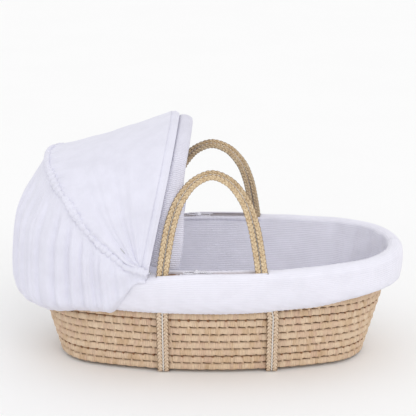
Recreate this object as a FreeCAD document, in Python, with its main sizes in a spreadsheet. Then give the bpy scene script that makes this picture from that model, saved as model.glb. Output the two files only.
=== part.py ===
"""Moses basket with a folding hood: coiled wicker shell, plaited straps, liner, mattress and hood.

Units are millimetres. +Z is up, +X points to the foot end, the hood stands at the head end (-X).
The model is drawn round the middle of the basket. The last step moves it along X, so that the origin
ends up on the floor under the middle of the whole outline, which the hood's drape makes longer.
"""
import FreeCAD, Part
import math
import os

import Sketcher
from FreeCAD import Placement, Rotation, Vector

# Driving dimensions. Lengths in millimetres, angles in degrees.
SIZES = {
    # plan of the basket: an oval of two end arcs and two side arcs, at the lowest course of coil
    "base_half_length": 340, "end_radius": 115, "side_radius": 800,
    # wall of stacked coils, each course set a little outside the one below
    "coil_height": 18, "coil_width": 13, "coil_pitch": 18.2, "course_count": 13, "wall_flare": 60,
    # plaited straps that run under the base and up both walls
    "plait_width": 12, "plait_thickness": 6, "plait_spacing": 13.4, "stitch_radius": 1, "stitch_depth": 1.7,
    "head_strap_x": -104, "foot_strap_x": 128, "strap_bend_radius": 10.5, "strap_turn_height": 145,
    # carrying handles
    "handle_height": 208, "handle_crown_radius": 78.5, "handle_leg_lean": 9.6, "handle_gap": 5,
    "front_handle_lean": 5, "back_handle_lean": 22,
    # fabric liner
    "fabric_thickness": 3, "skirt_standoff": 11.4, "skirt_drop": 88, "hem_band_height": 7,
    "slit_half_length": 121,
    # mattress
    "mattress_height": 35, "mattress_inset": 21, "mattress_cover": 1.5,
    # hood
    "hinge_x": -138, "hinge_height": 257, "pin_radius": 2.5, "eye_radius": 6, "eye_thickness": 3.6,
    "running_gap": 0.05, "bracket_thickness": 2, "wire_radius": 2,
    "front_hoop_half_width": 209, "front_hoop_height": 280, "front_hoop_lean": 12.1,
    "rear_hoop_half_width": 213, "rear_hoop_height": 287, "rear_hoop_lean": -48.2,
    "shoulder_radius": 130, "crown_radius": 300, "sleeve_width": 18, "sleeve_thickness": 8,
    "ruffle_radius": 6, "cuff_reach": 9, "cuff_crown_reach": 34, "cuff_slope": 0.8, "canopy_foot": 30,
    "drape_bulge_height": 217, "drape_bulge_half_width": 222, "drape_bulge_reach": 295,
    "drape_bulge_foot": 24,
    "drape_hem_height": 128, "drape_hem_half_width": 208, "drape_hem_reach": 262, "drape_hem_foot": 30,
    # from the middle of the basket to the middle of the whole outline
    "origin_shift": 9.7,
}
STRAP_CLEARANCE = 1.1      # from a coil's side to the strap that leans on all of them
FIT = 0.4                  # between neighbouring soft pieces
CORD_RADIUS = 1.5          # of the tie cords

doc = FreeCAD.newDocument("moses_basket")
sheet = doc.addObject("Spreadsheet::Sheet", "Sizes")
for row, (alias, number) in enumerate(SIZES.items(), 1):
    sheet.set(f"A{row}", alias)
    sheet.set(f"B{row}", str(number))
    sheet.setAlias(f"B{row}", alias)
doc.recompute()

NODES = []


def size(expression):
    """Value of an expression on the sheet, such as 'end_radius + 3', as a plain number."""
    return float(sheet.evalExpression(qualified(expression)))


def qualified(expression):
    """The same expression with every alias written as Sizes.alias, ready for setExpression."""
    text = str(expression)
    words = []
    word = ""
    for letter in text + " ":
        if letter.isalnum() or letter == "_":
            word += letter
            continue
        words.append(f"Sizes.{word}" if word in SIZES else word)
        words.append(letter)
        word = ""
    return "".join(words).strip()


def new_body(label, placement=None):
    """An empty body that will become the node of that name."""
    body = doc.addObject("PartDesign::Body", label)
    body.Label = label
    if placement:
        body.Placement = placement
    NODES.append(body)
    return body


def new_sketch(body, name, role, offset=None):
    """A sketch on one of the body's own origin planes."""
    sketch = body.newObject("Sketcher::SketchObject", name)
    side = next(plane for plane in body.Origin.OriginFeatures if plane.Role == role)
    sketch.AttachmentSupport = [(side, "")]
    sketch.MapMode = "FlatFace"
    if offset:
        sketch.AttachmentOffset = offset
    return sketch


def bind(sketch, kind, *arguments):
    """A dimension of the sketch; its last argument is an expression on the sheet."""
    *places, expression = arguments
    index = sketch.addConstraint(Sketcher.Constraint(kind, *places, size(expression)))
    sketch.setExpression(f"Constraints[{index}]", qualified(expression))


def fix(sketch, kind, *places):
    """A geometric constraint without a dimension."""
    sketch.addConstraint(Sketcher.Constraint(kind, *places))


def arc(centre, radius, start, end):
    """An arc of a circle, turning from the start angle to the end angle, in radians."""
    circle = Part.Circle(Vector(centre[0], centre[1], 0), Vector(0, 0, 1), radius)
    return Part.ArcOfCircle(circle, start, end)


def segment(start, end):
    """A straight edge between two points of a sketch."""
    return Part.LineSegment(Vector(start[0], start[1], 0), Vector(end[0], end[1], 0))


def draw_oval(sketch, offset):
    """The basket's plan, moved outwards by an expression: the four arcs keep their centres."""
    end = size(f"end_radius + ({offset})")
    side = size(f"side_radius + ({offset})")
    reach = size("base_half_length - end_radius")
    rise = math.sqrt((side - end) ** 2 - reach**2)
    turn = math.atan2(rise, reach)
    sketch.addGeometry(arc((reach, 0), end, -turn, turn))
    sketch.addGeometry(arc((0, -rise), side, turn, math.pi - turn))
    sketch.addGeometry(arc((-reach, 0), end, math.pi - turn, math.pi + turn))
    sketch.addGeometry(arc((0, rise), side, math.pi + turn, 2 * math.pi - turn))
    for edge in range(4):
        fix(sketch, "Tangent", edge, 2, (edge + 1) % 4, 1)
    fix(sketch, "PointOnObject", 0, 3, -1)
    fix(sketch, "PointOnObject", 1, 3, -2)
    fix(sketch, "PointOnObject", 2, 3, -1)
    fix(sketch, "Equal", 0, 2)
    fix(sketch, "Equal", 1, 3)
    bind(sketch, "DistanceX", -1, 1, 0, 3, "base_half_length - end_radius")
    bind(sketch, "Radius", 0, f"end_radius + ({offset})")
    bind(sketch, "Radius", 1, f"side_radius + ({offset})")


def draw_polygon(sketch, corners):
    """A closed outline whose corners are pairs of expressions on the sheet."""
    points = [(size(across), size(up)) for across, up in corners]
    for index, start in enumerate(points):
        sketch.addGeometry(segment(start, points[(index + 1) % len(points)]))
    for index in range(len(points)):
        fix(sketch, "Coincident", index, 2, (index + 1) % len(points), 1)
        bind(sketch, "DistanceX", -1, 1, index, 1, corners[index][0])
        bind(sketch, "DistanceY", -1, 1, index, 1, corners[index][1])


def draw_circle(sketch, across, up, radius):
    """A circle whose centre and radius are expressions on the sheet."""
    centre = Vector(size(across), size(up), 0)
    index = sketch.addGeometry(Part.Circle(centre, Vector(0, 0, 1), size(radius)))
    bind(sketch, "DistanceX", -1, 1, index, 3, across)
    bind(sketch, "DistanceY", -1, 1, index, 3, up)
    bind(sketch, "Radius", index, radius)


def draw_slot(sketch, across, up, length, width, upright):
    """A strip with round ends, standing upright or lying flat about its centre."""
    radius = size(f"({width}) / 2")
    half = size(f"(({length}) - ({width})) / 2")
    x, y = size(across), size(up)
    lower = (x, y - half) if upright else (x - half, y)
    upper = (x, y + half) if upright else (x + half, y)
    turn = 0 if upright else -math.pi / 2
    sketch.addGeometry(arc(upper, radius, turn, turn + math.pi))
    sketch.addGeometry(arc(lower, radius, turn + math.pi, turn + 2 * math.pi))
    far = (radius * math.cos(turn + math.pi), radius * math.sin(turn + math.pi))
    for side, (start, end) in ((1, (upper, lower)), (-1, (lower, upper))):
        sketch.addGeometry(segment((start[0] + side * far[0], start[1] + side * far[1]),
                                   (end[0] + side * far[0], end[1] + side * far[1])))
    for first, second in ((0, 2), (2, 1), (1, 3), (3, 0)):
        fix(sketch, "Tangent", first, 2, second, 1)
    fix(sketch, "Equal", 0, 1)
    bind(sketch, "Radius", 0, f"({width}) / 2")
    run = f"(({length}) - ({width})) / 2"
    low = (across, f"{up} - {run}") if upright else (f"{across} - {run}", up)
    high = (across, f"{up} + {run}") if upright else (f"{across} + {run}", up)
    bind(sketch, "DistanceX", -1, 1, 0, 3, high[0])
    bind(sketch, "DistanceY", -1, 1, 0, 3, high[1])
    if upright:
        bind(sketch, "DistanceY", -1, 1, 1, 3, low[1])
    else:
        bind(sketch, "DistanceX", -1, 1, 1, 3, low[0])


def sweep(body, path, profile, name="Run"):
    """Carries the profile along the path."""
    pipe = body.newObject("PartDesign::AdditivePipe", name)
    pipe.Profile = profile
    pipe.Spine = (path, [])
    doc.recompute()
    return pipe


def mirror(body, features, role):
    """Adds the other half of the features, across one of the body's origin planes."""
    mirrored = body.newObject("PartDesign::Mirrored", "OtherHalf")
    side = next(plane for plane in body.Origin.OriginFeatures if plane.Role == role)
    mirrored.Originals = features
    mirrored.MirrorPlane = (side, [""])
    body.Tip = mirrored
    return mirrored


def cut_box(body, name, low, high):
    """Cuts a block, given by its lowest and highest corner, out of the body."""
    sketch = new_sketch(body, name, "XY_Plane", Placement(Vector(0, 0, high[2]), Rotation()))
    (x0, y0), (x1, y1) = low[:2], high[:2]
    draw_polygon(sketch, [(x0, y0), (x1, y0), (x1, y1), (x0, y1)])
    pocket = body.newObject("PartDesign::Pocket", name + "Cut")
    pocket.Profile = sketch
    pocket.Length = high[2] - low[2]
    doc.recompute()


def coil_offset(course):
    """How far out a course of coil lies, counted from the lowest one, as an expression."""
    return f"wall_flare * {course} / (course_count - 1)"


def coil_centre_height(course):
    """Height of a course's centre above the floor, as an expression."""
    return f"plait_thickness + {FIT / 2} + coil_height / 2 + coil_pitch * {course}"


def wall_offset(height):
    """Offset of the wall's outer face at a height above the floor, as an expression."""
    slope = "wall_flare / (coil_pitch * (course_count - 1))"
    return f"{slope} * (({height}) - ({coil_centre_height(0)}))"


def half_width(x, offset):
    """Distance from the long axis to the plan oval, moved outwards, on its side arc."""
    reach = size("base_half_length - end_radius")
    rise = math.sqrt(size("side_radius - end_radius") ** 2 - reach**2)
    return math.sqrt((size("side_radius") + offset) ** 2 - x**2) - rise


RIM_TOP = size(coil_centre_height(SIZES["course_count"] - 1)) + SIZES["coil_height"] / 2


# ---------------------------------------------------------------- coiled wicker
def ring(label, offset, draw_profile):
    """A closed ring that follows the plan oval; draw_profile draws its section at the foot end."""
    body = new_body(label)
    path = new_sketch(body, "Path", "XY_Plane")
    draw_oval(path, offset)
    profile = new_sketch(body, "Section", "XZ_Plane")
    draw_profile(profile)
    sweep(body, path, profile)
    return body


def make_wall_coil(label, course):
    """One course of the wall: husk coil of upright section."""
    middle = f"base_half_length + {coil_offset(course)} - coil_width / 2"
    height = coil_centre_height(course)
    ring(label, coil_offset(course),
         lambda sketch: draw_slot(sketch, middle, height, "coil_height", "coil_width", True))


def make_base_coils():
    """The bottom: rings of coil laid flat inside each other, round a long centre coil."""
    centre_height = size("plait_thickness + coil_width / 2") + FIT / 2
    pitch = size("coil_width") + FIT / 2
    solids = []
    ring_count = 7
    for turn in range(1, ring_count + 1):
        inset = size("coil_width / 2") + pitch * turn
        solids.append(flat_ring(inset, centre_height))
    solids.append(centre_slab(size("coil_width / 2") + pitch * ring_count, centre_height))
    feature = doc.addObject("Part::Feature", "base_coils")
    feature.Shape = Part.makeCompound(solids)
    NODES.append(feature)


def oval_wire(offset, height):
    """The plan oval as a wire at a height."""
    end = size("end_radius") + offset
    side = size("side_radius") + offset
    reach = size("base_half_length - end_radius")
    rise = math.sqrt((side - end) ** 2 - reach**2)
    turn = math.atan2(rise, reach)
    spans = (((reach, 0), end, -turn, turn),
             ((0, -rise), side, turn, math.pi - turn),
             ((-reach, 0), end, math.pi - turn, math.pi + turn),
             ((0, rise), side, math.pi + turn, 2 * math.pi - turn))
    wire = Part.Wire([arc(*span).toShape() for span in spans])
    wire.translate(Vector(0, 0, height))
    return wire


def flat_ring(inset, height):
    """A ring of round coil inside the lowest course."""
    path = oval_wire(-inset, height)
    start = Vector(size("base_half_length") - inset, 0, height)
    section = Part.Wire(Part.makeCircle(size("coil_width / 2"), start, Vector(0, 1, 0)))
    return path.makePipeShell([section], True, False)


def centre_slab(inset, height):
    """The last, straight turns of coil in the middle of the bottom, as one flat piece."""
    edge = size("coil_width / 2") + FIT / 2
    thickness = size("coil_width")
    face = Part.Face(oval_wire(-inset - edge, height - thickness / 2))
    return face.extrude(Vector(0, 0, thickness))


# ---------------------------------------------------------------- plaited straps and handles
def strap_distance(x, offset):
    """Distance of a strap's middle from the long axis, where the wall has that offset."""
    edge = size("plait_spacing / 2 + plait_width / 2")
    return half_width(abs(x) - edge, offset) + STRAP_CLEARANCE + size("plait_thickness") / 2


def strap_line(x, rim_x):
    """Distances of a strap's middle from the long axis, at the lowest course and at the rim."""
    return strap_distance(x, 0), strap_distance(rim_x, size(wall_offset(strap_top())))


def strap_top():
    """Height at which the straps end and the handles begin."""
    return RIM_TOP - FIT / 2


def rounded_wire(points, fixed_radii=None):
    """Straight runs joined by tangent arcs, as large as fit unless given; the wire and its radii."""
    edges = []
    radii = []
    cursor = points[0]
    for index, corner in enumerate(points[1:-1]):
        inward, outward = corner - points[index], points[index + 2] - corner
        turn = inward.getAngle(outward)
        radius = 0.45 * min(inward.Length, outward.Length) / math.tan(turn / 2)
        if fixed_radii:
            radius = fixed_radii[index]
        reach = radius * math.tan(turn / 2)
        first = corner - inward.normalize() * reach
        last = corner + outward.normalize() * reach
        bisector = (outward - inward).normalize()
        middle = corner + bisector * (radius / math.cos(turn / 2) - radius)
        edges.append(Part.LineSegment(cursor, first).toShape())
        edges.append(Part.Arc(first, middle, last).toShape())
        radii.append(radius)
        cursor = last
    edges.append(Part.LineSegment(cursor, points[-1]).toShape())
    return Part.Wire(edges), radii


def slot_wire(centre, wide, thin, width, thickness):
    """Outline of a flat strip with round edges; wide and thin are the directions of its two sides."""
    radius = thickness / 2
    reach = wide * (width / 2 - radius)
    high, low = thin * radius, thin * -radius
    right, left = centre + reach, centre - reach
    return Part.Wire([
        Part.LineSegment(left + high, right + high).toShape(),
        Part.Arc(right + high, right + wide * radius, right + low).toShape(),
        Part.LineSegment(right + low, left + low).toShape(),
        Part.Arc(left + low, left - wide * radius, left + high).toShape()])


def strap_route(x, rim_x, sink):
    """Corner points of a strap's line from rim to rim; sink moves the line to the outer face."""
    low_y, high_y = strap_line(x, rim_x)
    turn_z, low_z = size("strap_turn_height"), size(coil_centre_height(0))
    lift = size("plait_thickness / 2") - sink
    turn_y = strap_distance(x, size(wall_offset(turn_z)))
    slope = (turn_y - low_y) / (turn_z - low_z)
    out = sink * math.sqrt(1 + slope**2)
    corner_y = low_y - slope * (low_z - lift) + out
    half = [Vector(rim_x, high_y + out, strap_top()), Vector(x, turn_y + out, turn_z),
            Vector(x, corner_y, lift)]
    return [Vector(p.x, -p.y, p.z) for p in half] + half[::-1]


def make_strap(prefix, x, rim_x):
    """Two plaits side by side and the cord that joins them, under the base and up both walls.
    Above the turn height, under the skirt, the strap slants from x to rim_x, where its handle starts."""
    spacing = size("plait_spacing")
    bend = size("strap_bend_radius")
    depth = size("stitch_depth")
    for name, side, sink in (("plait_a", -0.5, 0), ("plait_b", 0.5, 0), ("stitching", 0, depth)):
        shift = side * spacing
        route = strap_route(x + shift, rim_x + shift, sink)
        wire, _ = rounded_wire(route, [80, bend + sink, bend + sink, 80])
        start, run = route[0], (route[1] - route[0]).normalize()
        if sink:
            section = Part.Wire(Part.makeCircle(size("stitch_radius"), start, run))
        else:
            thin = run.cross(Vector(1, 0, 0)).normalize()
            section = slot_wire(start, thin.cross(run), thin, size("plait_width"), size("plait_thickness"))
        feature = doc.addObject("Part::Feature", f"{prefix}_{name}")
        feature.Shape = wire.makePipeShell([section], True, False)
        NODES.append(feature)


def draw_handle_path(sketch, offset):
    """Half of a handle's line: from the crown down one leg; offset moves it outwards."""
    radius = f"handle_crown_radius + {offset} * plait_spacing"
    centre = "handle_height - handle_crown_radius"
    lean = math.radians(size("handle_leg_lean"))
    drop = size("handle_gap")
    ring_radius, middle = size(radius), size(centre)
    touch = (ring_radius * math.cos(lean), middle + ring_radius * math.sin(lean))
    foot_x = (ring_radius + (middle - drop) * math.sin(lean)) / math.cos(lean)
    sketch.addGeometry(arc((0, middle), ring_radius, lean, math.pi / 2))
    sketch.addGeometry(segment((foot_x, drop), touch))
    fix(sketch, "Tangent", 1, 2, 0, 1)
    fix(sketch, "PointOnObject", 0, 3, -2)
    fix(sketch, "PointOnObject", 0, 2, -2)
    bind(sketch, "DistanceY", -1, 1, 0, 3, centre)
    bind(sketch, "Radius", 0, radius)
    bind(sketch, "DistanceY", -1, 1, 1, 1, "handle_gap")
    leg = f"({radius} + ({centre} - handle_gap) * sin(handle_leg_lean * 1deg)) / cos(handle_leg_lean * 1deg)"
    bind(sketch, "DistanceX", -1, 1, 1, 1, leg)


def make_handle(prefix, pivot, lean, outward):
    """A carrying loop of two plaits with the joining cord on its outward face."""
    placement = Placement(pivot, Rotation(Vector(1, 0, 0), lean))
    for letter, side in (("a", 0.5), ("b", -0.5)):
        body = new_body(f"{prefix}_plait_{letter}", placement)
        path = new_sketch(body, "Path", "XZ_Plane")
        draw_handle_path(path, side)
        section = new_sketch(body, "Section", "YZ_Plane")
        crown = f"handle_height + {side} * plait_spacing"
        draw_slot(section, "0", crown, "plait_width", "plait_thickness", True)
        run = sweep(body, path, section)
        mirror(body, [run], "YZ_Plane")
    body = new_body(f"{prefix}_stitching", placement)
    path = new_sketch(body, "Path", "XZ_Plane")
    draw_handle_path(path, 0)
    section = new_sketch(body, "Section", "YZ_Plane")
    draw_circle(section, f"{outward} * stitch_depth", "handle_height", "stitch_radius")
    run = sweep(body, path, section)
    mirror(body, [run], "YZ_Plane")


# ---------------------------------------------------------------- liner and mattress
def make_liner():
    """Padded inner wall, outer skirt with its top fold over the rim, and the hem band."""
    top = f"{RIM_TOP} + {FIT}"
    inner_top = f"{RIM_TOP} - 4"
    floor_z = f"plait_thickness + coil_width + {FIT} + 2"
    inside = f"coil_width + {FIT} + 1"

    def wall_x(height, inset):
        return f"base_half_length + {wall_offset(height)} - ({inset})"

    ring("liner_wall", "0", lambda sketch: draw_polygon(sketch, [
        (wall_x(floor_z, inside), floor_z), (wall_x(inner_top, inside), inner_top),
        (wall_x(inner_top, f"{inside} + fabric_thickness"), inner_top),
        (wall_x(floor_z, f"{inside} + fabric_thickness"), floor_z)]))
    hem = f"{RIM_TOP} - skirt_drop"
    outer_top = f"{RIM_TOP} - 1"
    ring("liner_skirt", "0", lambda sketch: draw_polygon(sketch, [
        (wall_x(hem, "-skirt_standoff"), hem), (wall_x(outer_top, "-skirt_standoff"), top),
        (wall_x(inner_top, "coil_width"), top),
        (wall_x(inner_top, "coil_width"), f"{top} + fabric_thickness"),
        (wall_x(outer_top, "-skirt_standoff - 1"), f"{top} + fabric_thickness"),
        (wall_x(outer_top, "-skirt_standoff - fabric_thickness"), outer_top),
        (wall_x(hem, "-skirt_standoff - fabric_thickness"), hem)]))
    skirt = NODES[-1]
    slit = "slit_half_length"
    roof = RIM_TOP + 20
    for name, edge in (("SlitFront", -1), ("SlitBack", 1)):
        y0, y1 = sorted((edge * 150, edge * 250))
        cut_box(skirt, name, (f"-{slit}", y0, RIM_TOP - 0.9), (slit, y1, roof))
    bracket = size("hinge_x")
    inner, outer = bracket_span()
    for name, edge in (("EarSlotFront", -1), ("EarSlotBack", 1)):
        y0, y1 = sorted((edge * (inner - 1), edge * (outer + 1)))
        cut_box(skirt, name, (bracket - 14, y0, RIM_TOP - 0.9), (bracket + 14, y1, roof))
    band_top = f"{hem} - {FIT}"
    band = f"{band_top} - hem_band_height"
    ring("hem_elastic", "0", lambda sketch: draw_polygon(sketch, [
        (wall_x(band, "-skirt_standoff"), band), (wall_x(band_top, "-skirt_standoff"), band_top),
        (wall_x(band_top, "-skirt_standoff - fabric_thickness"), band_top),
        (wall_x(band, "-skirt_standoff - fabric_thickness"), band)]))


def make_slit_binding(label, edge):
    """The narrow casing along the liner's inner edge in the slit between a handle's feet."""
    half = size("slit_half_length") - 22
    height = RIM_TOP - 2.8
    inset = size("coil_width") + 3.6
    y_mid = half_width(0, size(wall_offset(height)) - inset)
    y_end = half_width(half, size(wall_offset(height)) - inset)
    path = Part.Arc(Vector(-half, edge * y_end, height), Vector(0, edge * y_mid, height),
                    Vector(half, edge * y_end, height))
    wire = Part.Wire(path.toShape())
    start = path.value(path.FirstParameter)
    section = Part.Wire(Part.makeCircle(1.0, start, path.tangent(path.FirstParameter)[0]))
    feature = doc.addObject("Part::Feature", label)
    feature.Shape = wire.makePipeShell([section], True, False)
    NODES.append(feature)


def make_mattress():
    """Foam core in a closed quilted cover."""
    floor_z = size("plait_thickness + coil_width") + 4
    for label, skin in (("mattress_core", "mattress_cover + 0.1"), ("mattress_cover", "0")):
        body = new_body(label)
        plan = new_sketch(body, "Plan", "XY_Plane", Placement(Vector(0, 0, floor_z + size(skin)), Rotation()))
        draw_oval(plan, f"-mattress_inset - ({skin})")
        slab = body.newObject("PartDesign::Pad", "Slab")
        slab.Profile = plan
        slab.setExpression("Length", qualified(f"mattress_height - 2 * ({skin})"))
        doc.recompute()
    body = NODES[-1]
    roof = floor_z + size("mattress_height - mattress_cover")
    room = new_sketch(body, "CoreRoom", "XY_Plane", Placement(Vector(0, 0, roof), Rotation()))
    draw_oval(room, "-mattress_inset - mattress_cover")
    hollow = body.newObject("PartDesign::Pocket", "Hollow")
    hollow.Profile = room
    hollow.setExpression("Length", qualified("mattress_height - 2 * mattress_cover"))


# ---------------------------------------------------------------- hood hinges and hoops
def bracket_span():
    """Inner and outer face of the front hinge bracket, as distances from the long axis."""
    outermost = half_width(size("hinge_x + 12"), size("wall_flare"))
    inner = outermost + FIT
    return inner, inner + size("bracket_thickness")


def make_bracket(label, edge):
    """A plate against the outside of the rim whose ear carries the hood's pin."""
    body = new_body(label)
    inner, outer = bracket_span()
    start = inner if edge < 0 else -outer
    sketch = new_sketch(body, "Plate", "XZ_Plane", Placement(Vector(0, 0, start), Rotation()))
    draw_polygon(sketch, [
        ("hinge_x - 12", "hinge_height - 26"), ("hinge_x + 12", "hinge_height - 26"),
        ("hinge_x + 12", "hinge_height - 12"), ("hinge_x + 6", "hinge_height + 7"),
        ("hinge_x - 6", "hinge_height + 7"), ("hinge_x - 12", "hinge_height - 12")])
    draw_circle(sketch, "hinge_x", "hinge_height", "pin_radius + running_gap")
    for shift in (-7, 7):
        draw_circle(sketch, f"hinge_x + {shift}", "hinge_height - 19", "1.6")
    plate = body.newObject("PartDesign::Pad", "PlatePad")
    plate.Profile = sketch
    plate.setExpression("Length", qualified("bracket_thickness"))


def hinge_point(edge, distance):
    """A point on the hood's hinge line, at a distance from the long axis."""
    return Vector(size("hinge_x"), edge * distance, size("hinge_height"))


def make_pin(side, edge):
    """Headed pin through the bracket and both hoops' eyes, and the cap pressed on its end."""
    inner, _ = bracket_span()
    along = Vector(0, edge, 0)
    end = size("rear_hoop_half_width + eye_thickness / 2") + 0.2
    head = Part.makeCylinder(4, 2, hinge_point(edge, inner - 2), along)
    shank = Part.makeCylinder(size("pin_radius"), end + 2 - inner, hinge_point(edge, inner), along)
    pin = doc.addObject("Part::Feature", f"hinge_pin_{side}")
    pin.Shape = head.fuse(shank).removeSplitter()
    NODES.append(pin)
    disc = Part.makeCylinder(4.5, 2, hinge_point(edge, end), along)
    hole = Part.makeCylinder(size("pin_radius") + 0.02, 4, hinge_point(edge, end - 1), along)
    cap = doc.addObject("Part::Feature", f"hinge_cap_{side}")
    cap.Shape = disc.cut(hole)
    NODES.append(cap)


def hood_placement(lean):
    """A hood piece's own upright plane, set on the hinge line and leaned about it."""
    return Placement(Vector(size("hinge_x"), 0, size("hinge_height")), Rotation(Vector(0, 1, 0), size(lean)))


def shoulder_of(half_span, height):
    """Centre of a hoop's shoulder arc, and the angle at which its crown arc meets it."""
    small, large = size("shoulder_radius"), size("crown_radius")
    across = size(half_span) - small
    rise = math.sqrt((large - small) ** 2 - across**2)
    return (across, size(height) - large + rise), math.atan2(rise, across)


def draw_hoop_path(sketch, half_span, height, foot):
    """Half of a hoop's line: crown arc, shoulder arc and the straight leg down to its foot."""
    span, tall, low = size(half_span), size(height), size(foot)
    small, large = size("shoulder_radius"), size("crown_radius")
    shoulder, turn = shoulder_of(half_span, height)
    sketch.addGeometry(arc((0, tall - large), large, turn, math.pi / 2))
    sketch.addGeometry(arc(shoulder, small, 0, turn))
    sketch.addGeometry(segment((span, low), (span, shoulder[1])))
    fix(sketch, "Tangent", 1, 2, 0, 1)
    fix(sketch, "Tangent", 2, 2, 1, 1)
    fix(sketch, "PointOnObject", 0, 3, -2)
    fix(sketch, "PointOnObject", 0, 2, -2)
    bind(sketch, "Radius", 0, "crown_radius")
    bind(sketch, "Radius", 1, "shoulder_radius")
    bind(sketch, "DistanceY", -1, 1, 0, 2, height)
    bind(sketch, "DistanceX", -1, 1, 2, 1, half_span)
    bind(sketch, "DistanceY", -1, 1, 2, 1, foot)
    fix(sketch, "Vertical", 2)


def make_hoop(label, half_span, height, lean):
    """A bent steel wire with a flat eye at each foot that turns on the hinge pin."""
    body = new_body(label, hood_placement(lean))
    path = new_sketch(body, "Path", "YZ_Plane")
    draw_hoop_path(path, half_span, height, "eye_radius - 1")
    section = new_sketch(body, "Section", "XZ_Plane")
    draw_circle(section, "0", height, "wire_radius")
    run = sweep(body, path, section)
    lift = -size(f"{half_span} + eye_thickness / 2")
    eye_sketch = new_sketch(body, "Eye", "XZ_Plane", Placement(Vector(0, 0, lift), Rotation()))
    draw_circle(eye_sketch, "0", "0", "eye_radius")
    draw_circle(eye_sketch, "0", "0", "pin_radius + running_gap")
    eye = body.newObject("PartDesign::Pad", "EyePad")
    eye.Profile = eye_sketch
    eye.setExpression("Length", qualified("eye_thickness"))
    doc.recompute()
    mirror(body, [run, eye], "XZ_Plane")


def make_hoop_cover(label, half_span, height, lean, draw_profile):
    """Fabric that runs along a hoop from foot to foot, with the section that draw_profile draws."""
    body = new_body(label, hood_placement(lean))
    path = new_sketch(body, "Path", "YZ_Plane")
    draw_hoop_path(path, half_span, height, "canopy_foot")
    section = new_sketch(body, "Section", "XZ_Plane")
    draw_profile(section)
    run = sweep(body, path, section)
    mirror(body, [run], "XZ_Plane")


def draw_sleeve(sketch):
    """Section of the front channel: a flat band with the wire's bore."""
    low, high = "front_hoop_height - sleeve_thickness / 2", "front_hoop_height + sleeve_thickness / 2"
    draw_polygon(sketch, [("-sleeve_width / 2", low), ("sleeve_width / 2", low),
                          ("sleeve_width / 2", high), ("-sleeve_width / 2", high)])
    draw_circle(sketch, "0", "front_hoop_height", "wire_radius + 0.2")


def draw_ruffle(sketch):
    """Section of the gathered seam: a soft roll round the rear wire."""
    draw_circle(sketch, "0", "rear_hoop_height", "ruffle_radius")
    draw_circle(sketch, "0", "rear_hoop_height", "wire_radius + 0.2")


def draw_facing(sketch, reach):
    """Section of the ribbed facing that rolls forwards and inwards from the front channel."""
    root = f"sleeve_width / 2 + {FIT}"
    high = "front_hoop_height + sleeve_thickness / 2 - 1"
    edge = f"{high} - cuff_slope * {reach}"
    draw_polygon(sketch, [
        (root, f"{high} - fabric_thickness"), (f"{root} + {reach}", f"{edge} - fabric_thickness"),
        (f"{root} + {reach}", edge), (root, high)])


def make_cuff():
    """The facing: narrow on the legs, where the handles pass, and wide over the crown."""
    body = new_body("hood_cuff", hood_placement("front_hoop_lean"))
    runs = []
    for name, reach, crown_only in (("Legs", "cuff_reach", False), ("Crown", "cuff_crown_reach", True)):
        path = new_sketch(body, name + "Path", "YZ_Plane")
        if crown_only:
            draw_crown_path(path, "front_hoop_half_width", "front_hoop_height")
        else:
            draw_hoop_path(path, "front_hoop_half_width", "front_hoop_height", "canopy_foot")
        section = new_sketch(body, name + "Section", "XZ_Plane")
        draw_facing(section, reach)
        runs.append(sweep(body, path, section, name))
    mirror(body, runs, "XZ_Plane")


def draw_crown_path(sketch, half_span, height):
    """The crown arc alone, from the top to where the shoulder begins."""
    _, turn = shoulder_of(half_span, height)
    large = size("crown_radius")
    sketch.addGeometry(arc((0, size(height) - large), large, turn, math.pi / 2))
    fix(sketch, "PointOnObject", 0, 3, -2)
    fix(sketch, "PointOnObject", 0, 2, -2)
    bind(sketch, "Radius", 0, "crown_radius")
    bind(sketch, "DistanceY", -1, 1, 0, 2, height)
    bind(sketch, "DistanceX", -1, 1, 0, 1, f"{large * math.cos(turn):.4f}")


def draw_half_band(sketch, half_span, height, foot):
    """Half of a hood section: a strip of fabric outside the hoop's line, from foot to crown."""
    span, tall, low = size(half_span), size(height), size(foot)
    small, large, cloth = size("shoulder_radius"), size("crown_radius"), size("fabric_thickness")
    shoulder, turn = shoulder_of(half_span, height)
    outer, inner = span + cloth, span
    sketch.addGeometry(arc((0, tall - large), large + cloth, turn, math.pi / 2))
    sketch.addGeometry(arc(shoulder, small + cloth, 0, turn))
    sketch.addGeometry(segment((outer, low), (outer, shoulder[1])))
    sketch.addGeometry(segment((inner, low), (outer, low)))
    sketch.addGeometry(segment((inner, shoulder[1]), (inner, low)))
    sketch.addGeometry(arc(shoulder, small, 0, turn))
    sketch.addGeometry(arc((0, tall - large), large, turn, math.pi / 2))
    sketch.addGeometry(segment((0, tall), (0, tall + cloth)))


def loft(body, sections):
    """A ruled skin through the sections."""
    skin = body.newObject("PartDesign::AdditiveLoft", "Skin")
    skin.Profile = sections[0]
    skin.Sections = sections[1:]
    skin.Ruled = True
    doc.recompute()
    return skin


def hood_section(body, name, lean, shift, half_span, height, foot):
    """A half band in a plane turned about the hinge line; shift is (forwards, up) from it."""
    turn = Rotation(Vector(1, 0, 0), lean)
    sketch = new_sketch(body, name, "YZ_Plane", Placement(Vector(0, shift[1], shift[0]), turn))
    draw_half_band(sketch, half_span, height, foot)
    return sketch


def beside_hoop(lean, distance):
    """Where a section stands that is a distance in front of a hoop's plane: (forwards, up)."""
    tilt = math.radians(lean)
    return distance * math.cos(tilt), -distance * math.sin(tilt)


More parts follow.
